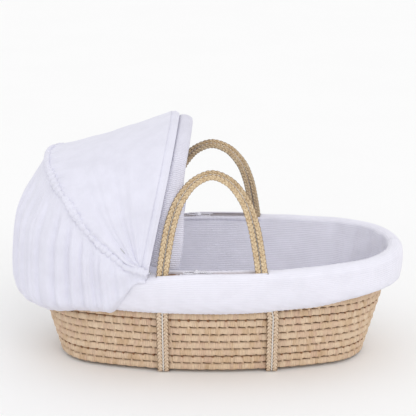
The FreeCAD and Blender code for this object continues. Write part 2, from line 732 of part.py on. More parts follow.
def make_front_canopy():
    """The hood's top and sides between the two hoops, from the front channel to the gathered seam."""
    body = new_body("hood_front_panel", hood_placement("0"))
    lean, back = size("front_hoop_lean"), size("rear_hoop_lean")
    front = hood_section(body, "FrontEdge", lean, beside_hoop(lean, -size("sleeve_width") / 2 - FIT),
                         "front_hoop_half_width", "front_hoop_height", "canopy_foot + 4")
    rear = hood_section(body, "RearEdge", back, beside_hoop(back, size("ruffle_radius") + FIT),
                        "rear_hoop_half_width", "rear_hoop_height", "canopy_foot + 4")
    skin = loft(body, [front, rear])
    mirror(body, [skin], "XZ_Plane")


def make_rear_canopy():
    """The gathered panel that falls from the rear hoop round the head end, down to its hem."""
    body = new_body("hood_rear_panel", hood_placement("0"))
    back = size("rear_hoop_lean")
    drops = [size("drape_bulge_height - hinge_height"), size("drape_hem_height - hinge_height")]
    top = hood_section(body, "Seam", back, beside_hoop(back, -size("ruffle_radius") - FIT),
                       "rear_hoop_half_width", "rear_hoop_height", "canopy_foot + 8")
    bulge = hood_section(body, "Bulge", -90, (0, drops[0]),
                         "drape_bulge_half_width", "drape_bulge_reach", "drape_bulge_foot")
    hem = hood_section(body, "Hem", -90, (0, drops[1]),
                       "drape_hem_half_width", "drape_hem_reach", "drape_hem_foot")
    skin = loft(body, [top, bulge, hem])
    mirror(body, [skin], "XZ_Plane")


# ---------------------------------------------------------------- tie cords
def tie_route(mirrored):
    """Points of one tie cord, chosen by hand: out of the casing, through the knot, round its loop
    and back through the knot to a loose end. The other cord is its mirror image, laid on top."""
    knot_x = -32
    points = [(-20, 10.0, -0.2), (-13, 7.0, 1.2), (-3, 4.0, 2.2), (8, 3.0, 2.6), (19, 1.5, 2.8),
              (27, -2.5, 2.8), (27, -10.0, 2.8), (18, -13.0, 2.8), (8, -9.0, 2.8), (-3, -5.5, 2.6),
              (-14, -4.0, 2.4), (-24, -7.0, 2.2), (-34, -5.0, 2.2)]
    turn, lift = (-1, 3.4) if mirrored else (1, 0.0)
    return [Vector(knot_x + turn * x, y, z + lift) for x, y, z in points]


def make_ties(side, edge):
    """Two tie cords and the knot that they share, on top of the rim in the slit."""
    rim_y = half_width(32, size("wall_flare")) - 5.5
    for letter, mirrored in (("a", False), ("b", True)):
        route = [Vector(p.x, edge * (rim_y - p.y), RIM_TOP + p.z) for p in tie_route(mirrored)]
        wire, radii = rounded_wire(route)
        start = route[0]
        section = Part.Wire(Part.makeCircle(CORD_RADIUS, start, route[1] - start))
        feature = doc.addObject("Part::Feature", f"tie_cord_{side}_{letter}")
        feature.Shape = wire.makePipeShell([section], True, False, 2)
        NODES.append(feature)
        ideal = math.pi * CORD_RADIUS**2 * wire.Length
        bends = ", ".join(f"{radius:.1f}" for radius in radii)
        share = feature.Shape.Volume / ideal
        print(f"{feature.Name}: length {wire.Length:.1f}, volume {share:.4f} of ideal, radii {bends}")
    knot = doc.addObject("Part::Feature", f"tie_knot_{side}")
    stretch = FreeCAD.Matrix()
    stretch.scale(5.5, 9.0, 5.2)
    knot.Shape = Part.makeSphere(1.0).transformGeometry(stretch)
    knot.Placement = Placement(Vector(-32, edge * (rim_y + 0.8), RIM_TOP + 5.6), Rotation())
    NODES.append(knot)


# ---------------------------------------------------------------- assembly
def build():
    """Makes every node in order."""
    make_base_coils()
    last = SIZES["course_count"] - 1
    for course in range(last):
        make_wall_coil(f"wall_coil_{course + 1:02d}", course)
    make_wall_coil("rim_coil", last)
    foot_x = handle_foot_x()
    make_strap("head_strap", size("head_strap_x"), -foot_x)
    make_strap("foot_strap", size("foot_strap_x"), foot_x)
    pivot_y = handle_pivot_y()
    pivot_z = RIM_TOP + 2
    make_handle("handle_front", Vector(0, -pivot_y, pivot_z), -size("front_handle_lean"), -1)
    make_handle("handle_back", Vector(0, pivot_y, pivot_z), size("back_handle_lean"), 1)
    make_liner()
    make_mattress()
    for side, edge in (("front", -1), ("back", 1)):
        make_slit_binding(f"slit_binding_{side}", edge)
        make_bracket(f"hinge_bracket_{side}", edge)
        make_pin(side, edge)
        make_ties(side, edge)
    for hoop, cover, draw_profile in (("rear", "ruffle", draw_ruffle), ("front", "sleeve", draw_sleeve)):
        shape = (f"{hoop}_hoop_half_width", f"{hoop}_hoop_height", f"{hoop}_hoop_lean")
        make_hoop(f"hood_{hoop}_hoop", *shape)
        make_hoop_cover(f"hood_{cover}", *shape, draw_profile)
    make_cuff()
    make_front_canopy()
    make_rear_canopy()
    centre = Placement(Vector(size("origin_shift"), 0, 0), Rotation())
    for node in NODES:
        node.Placement = centre.multiply(node.Placement)


def handle_foot_x():
    """Distance of a handle's foot from the middle of its loop, on the line between its two plaits."""
    lean = math.radians(size("handle_leg_lean"))
    centre = size("handle_height - handle_crown_radius")
    return (size("handle_crown_radius") + centre * math.sin(lean)) / math.cos(lean)


def handle_pivot_y():
    """Distance of the handles' hinge lines from the long axis: the straps' middle at the rim."""
    _, rim_y = strap_line(size("head_strap_x"), handle_foot_x())
    return rim_y


def check_and_write():
    """Stops on any failed object, then writes each node to its own file."""
    doc.recompute()
    failed = [item.Name for item in doc.Objects if "Invalid" in item.State or "Error" in item.State]
    if failed:
        raise RuntimeError(f"failed objects: {failed}")
    os.makedirs("parts", exist_ok=True)
    for node in NODES:
        shape = node.Shape
        if shape.isNull() or not shape.isValid():
            raise RuntimeError(f"bad shape: {node.Label}")
        shape.exportStep(f"parts/{node.Label}.step")
        box = shape.optimalBoundingBox(False)
        spans = (("x", box.XMin, box.XMax), ("y", box.YMin, box.YMax), ("z", box.ZMin, box.ZMax))
        extent = " ".join(f"{axis} {low:.1f}..{high:.1f}" for axis, low, high in spans)
        print(f"{node.Label}: {len(shape.Solids)} solid, {shape.Volume / 1000:.1f} cm3, {extent}")


build()
check_and_write()
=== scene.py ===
"""Moses basket with a folding hood: its visible pieces, their finishes, the light and the camera.

Lengths are in metres. Shapes are laid out round the middle of the basket, with +X to the foot end,
and every finished mesh is then moved by ORIGIN_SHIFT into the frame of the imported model.
"""
import logging
import math
from dataclasses import dataclass
from enum import Enum
from functools import lru_cache
from itertools import accumulate
from typing import Callable, Sequence

import bmesh
import bpy
from mathutils import Matrix, Vector, noise


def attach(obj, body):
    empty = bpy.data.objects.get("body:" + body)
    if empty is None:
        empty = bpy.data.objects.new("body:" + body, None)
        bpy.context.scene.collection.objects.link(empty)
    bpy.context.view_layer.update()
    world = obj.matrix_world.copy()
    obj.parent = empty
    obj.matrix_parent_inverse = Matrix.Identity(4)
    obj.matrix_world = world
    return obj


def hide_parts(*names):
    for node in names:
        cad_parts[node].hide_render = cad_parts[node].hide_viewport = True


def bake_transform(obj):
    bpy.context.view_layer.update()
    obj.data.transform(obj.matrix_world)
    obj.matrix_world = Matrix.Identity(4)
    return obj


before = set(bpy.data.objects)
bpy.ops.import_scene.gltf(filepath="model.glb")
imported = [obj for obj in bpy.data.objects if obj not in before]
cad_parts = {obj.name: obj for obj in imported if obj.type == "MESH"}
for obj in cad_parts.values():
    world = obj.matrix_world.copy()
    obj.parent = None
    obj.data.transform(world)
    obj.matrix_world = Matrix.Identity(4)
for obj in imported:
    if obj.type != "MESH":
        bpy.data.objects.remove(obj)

LOG = logging.getLogger("moses_basket")
ORIGIN_SHIFT = Vector((0.0097, 0.0, 0.0))
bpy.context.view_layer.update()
TURN_LENGTH = 0.02  # what one turn round a tube stands for on its UV map
Chart = Callable[[float, float], Vector]
Shift = Callable[[float], tuple[float, float]]
Colour = tuple[float, float, float]
Spot = tuple[float, float, float]


# ------------------------------------------------------------------ small curves and numbers
def ease(value: float, low: float, high: float) -> float:
    """A smooth step.

    Args:
        value: The number to place.
        low: Where the step leaves 0.
        high: Where the step reaches 1.

    Returns:
        0 before low, 1 after high, smooth between.
    """
    share = min(1.0, max(0.0, (value - low) / (high - low)))
    return share * share * (3 - 2 * share)


def mix(first, second, share: float):
    """The value a share of the way from the first to the second, for numbers and vectors alike."""
    return first * (1 - share) + second * share


def ripple(place: float, wave: float, seed: float) -> float:
    """Irregular waves along a line.

    Args:
        place: Position along the line, in metres.
        wave: Usual length of one wave, in metres.
        seed: Picks one of many patterns.

    Returns:
        A number from about -1 to 1.
    """
    drift = noise.noise(Vector((place / wave * 0.31, seed, 3.7)))
    return 0.62 * math.sin(math.tau * place / wave + 4.0 * drift + seed) + 0.9 * drift


def spline(points: Sequence[Vector], share: float) -> Vector:
    """A point on the smooth curve through the given points.

    Args:
        points: Points that the curve passes through, in order.
        share: Position from 0 at the first to 1 at the last, by number of points.

    Returns:
        The point on the curve.
    """
    span = min(max(share, 0.0), 1.0) * (len(points) - 1)
    index = min(int(span), len(points) - 2)
    t = span - index
    p1, p2 = points[index], points[index + 1]
    p0 = points[index - 1] if index else p1 * 2 - p2
    p3 = points[index + 2] if index + 2 < len(points) else p2 * 2 - p1
    return (p1 * 2 + (p2 - p0) * t + (p0 * 2 - p1 * 5 + p2 * 4 - p3) * t ** 2
            + (p1 * 3 - p0 - p2 * 3 + p3) * t ** 3) * 0.5


# ------------------------------------------------------------------ shader expressions
def _operator(operation: str, swapped: bool = False) -> Callable[["Signal", object], "Signal"]:
    """An operator method that adds the Math node of that operation.

    Args:
        operation: The node's operation.
        swapped: Whether the method is the reflected form, with the signal on the right.

    Returns:
        The method, for a signal and a signal or number.
    """
    def method(self: "Signal", other) -> "Signal":
        """The node's output for both."""
        first, second = (other, self) if swapped else (self, other)
        return self.graph.node("ShaderNodeMath", {"operation": operation}, {0: first, 1: second})
    return method


class Signal:
    """A shader socket that can be used in Python expressions."""

    __add__, __radd__ = _operator("ADD"), _operator("ADD", True)
    __sub__, __rsub__ = _operator("SUBTRACT"), _operator("SUBTRACT", True)
    __mul__, __rmul__ = _operator("MULTIPLY"), _operator("MULTIPLY", True)
    __truediv__, __pow__ = _operator("DIVIDE"), _operator("POWER")

    def __init__(self, graph: "Graph", socket: bpy.types.NodeSocket) -> None:
        """Wraps one output socket of the graph."""
        self.graph = graph
        self.socket = socket

    def call(self, operation: str) -> "Signal":
        """A Math operation of this signal alone, such as FRACT or ABSOLUTE."""
        return self.graph.node("ShaderNodeMath", {"operation": operation}, {0: self})

    def ramp(self, low: float, high: float, bottom: float = 0.0, top: float = 1.0) -> "Signal":
        """The signal carried smoothly from the range low..high to bottom..top."""
        return self.graph.node("ShaderNodeMapRange", {"interpolation_type": "SMOOTHSTEP"},
                               {"Value": self, "From Min": low, "From Max": high,
                                "To Min": bottom, "To Max": top})


class Graph:
    """The node tree of one material."""

    def __init__(self, name: str) -> None:
        """Starts an empty material with its Principled shader and output."""
        self.material = bpy.data.materials.new(name)
        self.material.use_nodes = True
        self.tree = self.material.node_tree
        self.shader = self.tree.nodes["Principled BSDF"]

    def node(self, kind: str, settings: dict, sockets: dict, output: int | str = 0) -> Signal:
        """Adds a node.

        Args:
            kind: The node's type name.
            settings: Properties to set first, with ramp stops under the name stops.
            sockets: Values or signals by input name or index.
            output: Which output to hand back.

        Returns:
            The chosen output.
        """
        made = self.tree.nodes.new(kind)
        for key, value in settings.items():
            if key == "stops":
                self._set_stops(made.color_ramp, value)
            else:
                setattr(made, key, value)
        for key, value in sockets.items():
            if isinstance(value, Signal):
                self.tree.links.new(value.socket, made.inputs[key])
            else:
                made.inputs[key].default_value = value
        return Signal(self, made.outputs[output])

    @staticmethod
    def _set_stops(ramp: bpy.types.ColorRamp, stops: Sequence[tuple[float, Colour]]) -> None:
        """Gives a colour ramp its stops, as (place, colour) pairs."""
        while len(ramp.elements) < len(stops):
            ramp.elements.new(1.0)
        for element, (place, colour) in zip(ramp.elements, stops):
            element.position = place
            element.color = (*colour, 1.0)

    def place(self, source: str, output: str) -> Signal:
        """A coordinate: the Object output of Texture Coordinate, or the UV output."""
        return self.node(source, {}, {}, output)

    def split(self, vector: Signal) -> tuple[Signal, Signal, Signal]:
        """The three parts of a vector."""
        first = self.node("ShaderNodeSeparateXYZ", {}, {0: vector}, 0)
        outputs = first.socket.node.outputs
        return first, Signal(self, outputs[1]), Signal(self, outputs[2])

    def join(self, x, y, z=0.0) -> Signal:
        """A vector from three signals or numbers."""
        return self.node("ShaderNodeCombineXYZ", {}, {0: x, 1: y, 2: z})

    def cloud(self, vector: Signal, scale: float, detail: float = 3.0, rough: float = 0.5) -> Signal:
        """Fractal noise, from 0 to 1."""
        return self.node("ShaderNodeTexNoise", {}, {"Vector": vector, "Scale": scale, "Detail": detail,
                                                    "Roughness": rough})

    def blend(self, share, first, second, kind: str = "MIX") -> Signal:
        """Two colours or signals mixed by a share."""
        first, second = ((*part, 1.0) if isinstance(part, tuple) else part for part in (first, second))
        return self.node("ShaderNodeMix", {"data_type": "RGBA", "blend_type": kind},
                         {0: share, 6: first, 7: second}, 2)

    def tones(self, share: Signal, *stops: tuple[float, Colour]) -> Signal:
        """A colour ramp with (place, colour) stops."""
        return self.node("ShaderNodeValToRGB", {"stops": stops}, {0: share})

    def bump(self, height: Signal, depth: float, strength: float = 1.0, over: Signal | None = None) -> Signal:
        """A normal from a height signal whose full range is depth metres, over another normal if given."""
        inputs = {"Height": height, "Distance": depth, "Strength": strength}
        return self.node("ShaderNodeBump", {}, inputs if over is None else inputs | {"Normal": over})

    def finish(self, colour: Signal, rough, normal: Signal | None = None, **constants) -> bpy.types.Material:
        """Feeds the shader.

        Args:
            colour: Base colour.
            rough: Roughness, a number or a signal.
            normal: The Normal input, if it has relief.
            **constants: Plain values by socket name, with _ for each space.

        Returns:
            The finished material.
        """
        links = {"Base Color": colour, "Roughness": rough}
        if normal is not None:
            links["Normal"] = normal
        for name, value in links.items():
            if isinstance(value, Signal):
                self.tree.links.new(value.socket, self.shader.inputs[name])
            else:
                self.shader.inputs[name].default_value = value
        for name, value in constants.items():
            self.shader.inputs[name.replace("_", " ")].default_value = value
        return self.material


# ------------------------------------------------------------------ finishes
def shade(colour: Colour, red: float, green: float | None = None, blue: float | None = None) -> Colour:
    """A colour times a factor, or times one factor for each channel."""
    factors = (red, red if green is None else green, red if blue is None else blue)
    return tuple(part * factor for part, factor in zip(colour, factors))


@dataclass(frozen=True)
class CoilHusk:
    """Dry maize husk wrapped crosswise round a coil, with painted shade in the grooves between courses; UV is
    (metres along the coil, metres of height).
    """

    name: str = "husk_coil_finish"
    strip_width: float = 0.012
    first_centre: float = 0.0152
    pitch: float = 0.0182
    pale: Colour = (0.72, 0.56, 0.405)
    warm: Colour = (0.59, 0.415, 0.265)
    rosy: Colour = (0.62, 0.435, 0.315)
    # colour of the painted shade in the grooves between courses
    groove: Colour = (0.20, 0.08, 0.03)

    def make(self) -> bpy.types.Material:
        """Builds the material."""
        graph = Graph(self.name)
        along, height, _ = graph.split(graph.place("ShaderNodeUVMap", "UV"))
        course = (height - self.first_centre + self.pitch / 2) / self.pitch
        row = course.call("FLOOR")
        edge = ((course.call("FRACT") - 0.5).call("ABSOLUTE")).ramp(0.37, 0.455)
        wobble = graph.cloud(graph.join(along, height), 60.0) * 0.012
        cell = graph.node("ShaderNodeTexVoronoi", {"voronoi_dimensions": "2D"},
                          {"Vector": graph.join((along + wobble) / self.strip_width, row * 7.31),
                           "Scale": 1.0}, "Color")
        chance, other, _ = graph.split(cell)
        strips = graph.tones(chance, (0.0, self.warm), (0.3, self.pale), (0.55, self.rosy), (0.75, self.pale),
                             (1.0, self.warm))
        grain = graph.cloud(graph.join(along * 620.0, height * 45.0, row * 3.0), 1.0, 5.0, 0.6)
        patch = graph.cloud(graph.join(along * 26.0, height * 26.0), 1.0, 2.0)
        streaks = graph.tones(grain, (0.25, (0.60, 0.52, 0.46)), (0.52, (1.0, 1.0, 1.0)),
                              (0.8, (1.22, 1.2, 1.14)))
        tone = graph.blend(1.0, strips, streaks, "MULTIPLY")
        tone = graph.blend(patch.ramp(0.4, 0.75, 0.0, 0.35), tone, self.pale)
        # painted shade: the groove colour laid over the top and bottom edges of each course
        tone = graph.blend(edge * 0.9, tone, self.groove)
        relief = grain * 0.7 + other * 0.3
        return graph.finish(tone, grain.ramp(0.2, 0.8, 0.62, 0.85), graph.bump(relief, 0.0009),
                            Specular_IOR_Level=0.25)


@dataclass(frozen=True)
class StrandHusk:
    """Twisted husk strands of a plait, with painted shade at their edges where they dive; UV is (metres
    along, TURN_LENGTH round).
    """

    name: str = "husk_plait_finish"
    light: Colour = (0.78, 0.64, 0.44)
    dark: Colour = (0.55, 0.40, 0.24)
    patch: Colour = (0.56, 0.38, 0.21)
    painted_crevice_shade: Colour = (0.16, 0.075, 0.03)

    def make(self) -> bpy.types.Material:
        """Builds the material."""
        graph = Graph(self.name)
        along, around, _ = graph.split(graph.place("ShaderNodeUVMap", "UV"))
        fibre = graph.cloud(graph.join(along * 60.0, around * 22.0 + along * 380.0), 1.0, 5.0, 0.65)
        patch = graph.cloud(graph.place("ShaderNodeTexCoord", "Object"), 95.0, 2.0)
        tone = graph.blend(fibre.ramp(0.3, 0.7), self.dark, self.light)
        tone = graph.blend(patch.ramp(0.45, 0.75, 0.0, 0.4), tone, self.patch)
        # side marks the strand's edges; the blend below paints shade there, where the strand dives under its
        # neighbours
        side = (around * (math.tau / TURN_LENGTH)).call("COSINE").call("ABSOLUTE")
        tone = graph.blend(side.ramp(0.72, 0.97, 0.0, 0.95), tone, self.painted_crevice_shade)
        return graph.finish(tone, fibre.ramp(0.2, 0.8, 0.6, 0.85), graph.bump(fibre, 0.0008),
                            Specular_IOR_Level=0.25)


class Run(Enum):
    """Which way a knitted rib runs on a piece's UV map."""

    ALONG_U = "along_u"
    ALONG_V = "along_v"


@dataclass(frozen=True)
class Cotton:
    """White cotton; UV is in metres. A rib pitch of 0 gives plain cloth with a fine weave."""

    name: str
    colour: Colour = (0.80, 0.79, 0.89)
    rib_pitch: float = 0.0
    rib_run: Run = Run.ALONG_U
    rib_depth: float = 0.0005
    rib_shade: float = 0.22
    crumple: float = 0.0006

    def make(self) -> bpy.types.Material:
        """Builds the material."""
        graph = Graph(self.name)
        u, v, _ = graph.split(graph.place("ShaderNodeUVMap", "UV"))
        spot = graph.place("ShaderNodeTexCoord", "Object")
        weave = ((u * 5200.0).call("SINE") * (v * 5200.0).call("SINE")) * 0.5 + 0.5
        soft = graph.cloud(spot, 28.0, 4.0, 0.55)
        tone = graph.blend(soft.ramp(0.3, 0.7), shade(self.colour, 0.95), self.colour)
        normal = graph.bump(weave, 0.00012, 0.5)
        if self.rib_pitch:
            place = v if self.rib_run is Run.ALONG_U else u
            wander = graph.cloud(graph.join(u * 9.0, v * 9.0), 1.0, 2.0) * 0.6
            rib = ((place * (math.tau / self.rib_pitch) + wander).call("SINE") * 0.5 + 0.5) ** 0.7
            knit = ((u + v) * 2400.0).call("SINE") * 0.12
            # painted shade in the rib valleys, up to rib_shade dark
            valley = (1 - rib) * self.rib_shade
            tone = graph.blend(valley, tone, shade(self.colour, 0.80, 0.79, 0.84))
            normal = graph.bump(rib + knit, self.rib_depth, 0.8, normal)
        normal = graph.bump(soft, self.crumple * 4, 0.5, normal)
        return graph.finish(tone, 0.92, normal, Sheen_Weight=0.25, Sheen_Roughness=0.5,
                            Specular_IOR_Level=0.2)


@dataclass(frozen=True)
class SpunCord:
    """Twisted cord or twine; patterns follow Object coordinates."""

    name: str
    colour: Colour = (0.86, 0.85, 0.92)
    lay: float = 1400.0

    def make(self) -> bpy.types.Material:
        """Builds the material."""
        graph = Graph(self.name)
        x, y, z = graph.split(graph.place("ShaderNodeTexCoord", "Object"))
        twist = ((x + y * 0.6 + z * 0.8) * self.lay).call("SINE") * 0.5 + 0.5
        # the darker half of each twist is painted shade in the grooves between the plies
        tone = graph.blend(twist, shade(self.colour, 0.82), self.colour)
        return graph.finish(tone, 0.88, graph.bump(twist, 0.0004), Sheen_Weight=0.2)


@dataclass(frozen=True)
class Steel:
    """Drawn steel wire and plate, a little dulled."""

    name: str = "steel_finish"

    def make(self) -> bpy.types.Material:
        """Builds the material."""
        graph = Graph(self.name)
        spot = graph.place("ShaderNodeTexCoord", "Object")
        marks = graph.cloud(spot, 320.0, 4.0, 0.6)
        tone = graph.blend(marks, (0.42, 0.42, 0.44), (0.60, 0.60, 0.62))
        return graph.finish(tone, marks.ramp(0.2, 0.8, 0.28, 0.5), graph.bump(marks, 0.0001), Metallic=1.0)


@dataclass(frozen=True)
class BaseHusk:
    """Husk of the flat bottom, wrapped across the coils; patterns follow Object coordinates."""

    name: str = "husk_base_finish"

    def make(self) -> bpy.types.Material:
        """Builds the material."""
        graph = Graph(self.name)
        spot = graph.place("ShaderNodeTexCoord", "Object")
        cell = graph.node("ShaderNodeTexVoronoi", {}, {"Vector": spot, "Scale": 85.0}, "Color")
        chance, _, _ = graph.split(cell)
        grain = graph.cloud(spot, 420.0, 4.0, 0.6)
        tone = graph.tones(chance, (0.0, (0.62, 0.43, 0.25)), (0.5, (0.80, 0.62, 0.41)),
                           (1.0, (0.68, 0.46, 0.29)))
        tone = graph.blend(grain.ramp(0.3, 0.7, 0.35, 0.0), tone, (0.35, 0.2, 0.1))
        return graph.finish(tone, 0.8, graph.bump(grain, 0.001))


@dataclass(frozen=True)
class Foam:
    """Open-cell foam."""

    name: str = "foam_finish"

    def make(self) -> bpy.types.Material:
        """Builds the material."""
        graph = Graph(self.name)
        cells = graph.cloud(graph.place("ShaderNodeTexCoord", "Object"), 700.0, 2.0)
        tone = graph.blend(cells, (0.80, 0.76, 0.62), (0.93, 0.90, 0.78))
        return graph.finish(tone, 0.95, graph.bump(cells, 0.0006))


@dataclass
class Wardrobe:
    """The materials of the whole object, each made once."""

    coil: bpy.types.Material
    plait: bpy.types.Material
    rib: bpy.types.Material
    cuff: bpy.types.Material
    plain: bpy.types.Material
    quilt: bpy.types.Material
    twine: bpy.types.Material
    tie: bpy.types.Material
    strap: bpy.types.Material
    steel: bpy.types.Material
    base: bpy.types.Material
    foam: bpy.types.Material

    @classmethod
    def stock(cls) -> "Wardrobe":
        """Makes every finish."""
        return cls(
            coil=CoilHusk().make(), plait=StrandHusk().make(),
            rib=Cotton("rib_cotton_finish", colour=(0.855, 0.845, 0.93), rib_pitch=0.0042).make(),
            cuff=Cotton("cuff_cotton_finish", colour=(0.82, 0.81, 0.91), rib_pitch=0.0044,
                        rib_run=Run.ALONG_V, rib_depth=0.0012, rib_shade=0.7).make(),
            plain=Cotton("plain_cotton_finish", colour=(0.765, 0.76, 0.86), crumple=0.0009).make(),
            quilt=Cotton("quilt_cotton_finish", colour=(0.84, 0.84, 0.92), rib_pitch=0.045,
                         rib_depth=0.004).make(),
            twine=SpunCord("twine_finish", (0.88, 0.84, 0.80)).make(),
            strap=StrandHusk("husk_strap_finish", (0.80, 0.66, 0.51), (0.60, 0.44, 0.31)).make(),
            tie=SpunCord("tie_finish").make(), steel=Steel().make(), base=BaseHusk().make(),
            foam=Foam().make())


# ------------------------------------------------------------------ making meshes
def warp_grid(columns: int, rows: int, chart: Chart, scale: tuple[float, float],
              keep: Callable[[float, float], bool] | None = None) -> bmesh.types.BMesh:
    """A grid laid over a surface, joined where its edges meet.

    Args:
        columns: Faces along u.
        rows: Faces along v.
        chart: Gives the surface point of each (u, v), both from 0 to 1.
        scale: Metres that u and v stand for, for the UV map.
        keep: Tells which faces stay, by the (u, v) of their middle.

    Returns:
        The new mesh, with its UV map.
    """
    bm = bmesh.new()
    bmesh.ops.create_grid(bm, x_segments=columns, y_segments=rows, size=0.5)
    if keep:
        middles = ((face, face.calc_center_median()) for face in bm.faces)
        lost = [face for face, middle in middles if not keep(middle.x + 0.5, middle.y + 0.5)]
        bmesh.ops.delete(bm, geom=lost, context="FACES")
    layer = bm.loops.layers.uv.verify()
    for face in bm.faces:
        for loop in face.loops:
            loop[layer].uv = ((loop.vert.co.x + 0.5) * scale[0], (loop.vert.co.y + 0.5) * scale[1])
    for vert in bm.verts:
        vert.co = chart(vert.co.x + 0.5, vert.co.y + 0.5)
    bmesh.ops.remove_doubles(bm, verts=bm.verts, dist=1e-6)
    bmesh.ops.recalc_face_normals(bm, faces=bm.faces)
    return bm


def close_ends(bm: bmesh.types.BMesh) -> None:
    """Caps every open ring of a tube and turns its faces outwards."""
    rim = [edge for edge in bm.edges if edge.is_boundary]
    if rim:
        bmesh.ops.holes_fill(bm, edges=rim, sides=0)
    bmesh.ops.recalc_face_normals(bm, faces=bm.faces)


def as_mesh(name: str, bm: bmesh.types.BMesh) -> bpy.types.Mesh:
    """A mesh made from a bmesh, which is freed."""
    mesh = bpy.data.meshes.new(name)
    bm.to_mesh(mesh)
    bm.free()
    return mesh


def show(name: str, data: bpy.types.ID) -> bpy.types.Object:
    """A new object of the scene for a mesh, curve, lamp or camera."""
    made = bpy.data.objects.new(name, data)
    bpy.context.scene.collection.objects.link(made)
    return made


def put(name: str, bm: bmesh.types.BMesh, material: bpy.types.Material,
        replaces: Sequence[str] = (), thickness: float = 0.0) -> bpy.types.Object:
    """Turns a finished bmesh into an object of the scene.

    Args:
        name: The piece's name.
        bm: Its mesh, which is freed.
        material: Its finish.
        replaces: CAD nodes that it stands for.
        thickness: Cloth thickness to give a sheet, in metres.

    Returns:
        The new object, at the origin, not yet riding on a body.
    """
    bmesh.ops.translate(bm, verts=bm.verts, vec=ORIGIN_SHIFT)
    for face in bm.faces:
        face.smooth = True
    mesh = as_mesh(name, bm)
    mesh.materials.append(material)
    piece = show(name, mesh)
    if thickness:
        solid = piece.modifiers.new("cloth", "SOLIDIFY")
        solid.thickness = thickness
        solid.offset = 0.0
    if replaces:
        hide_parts(*replaces)
    LOG.info("%s: %d faces", name, len(mesh.polygons))
    return piece


@dataclass
class Track:
    """A line with a width direction and a face direction at each of its points."""

    points: list[Vector]
    wide: list[Vector]
    face: list[Vector]

    @property
    def length(self) -> float:
        """Length along the points."""
        return sum((b - a).length for a, b in zip(self.points, self.points[1:]))

    def at(self, share: float) -> tuple[Vector, Vector, Vector]:
        """Point, width direction and face direction at a share of the way along."""
        span = min(max(share, 0.0), 1.0) * (len(self.points) - 1)
        index = min(int(span), len(self.points) - 2)
        t = span - index
        return tuple(mix(line[index], line[index + 1], t) for line in (self.points, self.wide, self.face))

    @classmethod
    def through(cls, corners: Sequence[Vector], wide_of: Callable[[Vector], Vector], soften: float,
                step: float = 0.0015) -> "Track":
        """A track along straight runs with softened corners.

        Args:
            corners: The ends of the runs.
            wide_of: Gives the width direction for a direction of travel.
            soften: Length over which each corner is rounded.
            step: Distance between the track's points.

        Returns:
            The track, evenly divided.
        """
        dense: list[Vector] = []
        for start, end in zip(corners, corners[1:]):
            count = max(1, round((end - start).length / step))
            dense += [mix(start, end, index / count) for index in range(count)]
        dense.append(corners[-1])
        reach = max(1, round(soften / step / 2))
        for _ in range(2):
            smooth = []
            for index in range(len(dense)):
                near = min(reach, index, len(dense) - 1 - index)
                window = dense[index - near:index + near + 1]
                smooth.append(sum(window, Vector()) / len(window))
            dense = smooth
        wide, face = [], []
        for index in range(len(dense)):
            travel = (dense[min(index + 1, len(dense) - 1)] - dense[max(index - 1, 0)]).normalized()
            across = wide_of(travel)
            across = (across - travel * across.dot(travel)).normalized()
            wide.append(across)
            face.append(across.cross(travel).normalized())
        return cls(dense, wide, face)


def oval(turn: float, wide: float, high: float) -> tuple[float, float]:
    """The (width, height) of a point on an oval section, for a turn from 0 to 1."""
    return wide * math.cos(math.tau * turn), high * math.sin(math.tau * turn)


def upright(share: float) -> Vector:
    """The upward direction, for a tube whose section stands level."""
    return Vector((0.0, 0.0, 1.0))


def tube_along(line: Callable[[float], Vector], section: Callable[[float, float], tuple[float, float]],
               up: Callable[[float], Vector], length: float, steps: int, sides: int) -> bmesh.types.BMesh:
    """A tube with any section along a line.

    Args:
        line: Centre of the tube for a share of its length.
        section: (width, height) offsets for a share of the length and a turn round the tube.
        up: Direction of the section's height for a share of the length.
        length: Length of the tube in metres, for the UV map.
        steps: Faces along it.
        sides: Faces round it.

    Returns:
        The closed tube.
    """
    frames = []
    for index in range(steps + 1):
        share = index / steps
        travel = (line(min(share + 0.5 / steps, 1.0)) - line(max(share - 0.5 / steps, 0.0))).normalized()
        high = up(share)
        high = (high - travel * high.dot(travel)).normalized()
        frames.append((line(share), travel.cross(high), high))

    def chart(u: float, v: float) -> Vector:
        """Point of the tube's skin."""
        centre, wide, high = frames[round(u * steps)]
        across, rise = section(u, v)
        return centre + wide * across + high * rise

    bm = warp_grid(steps, sides, chart, (length, TURN_LENGTH))
    close_ends(bm)
    return bm


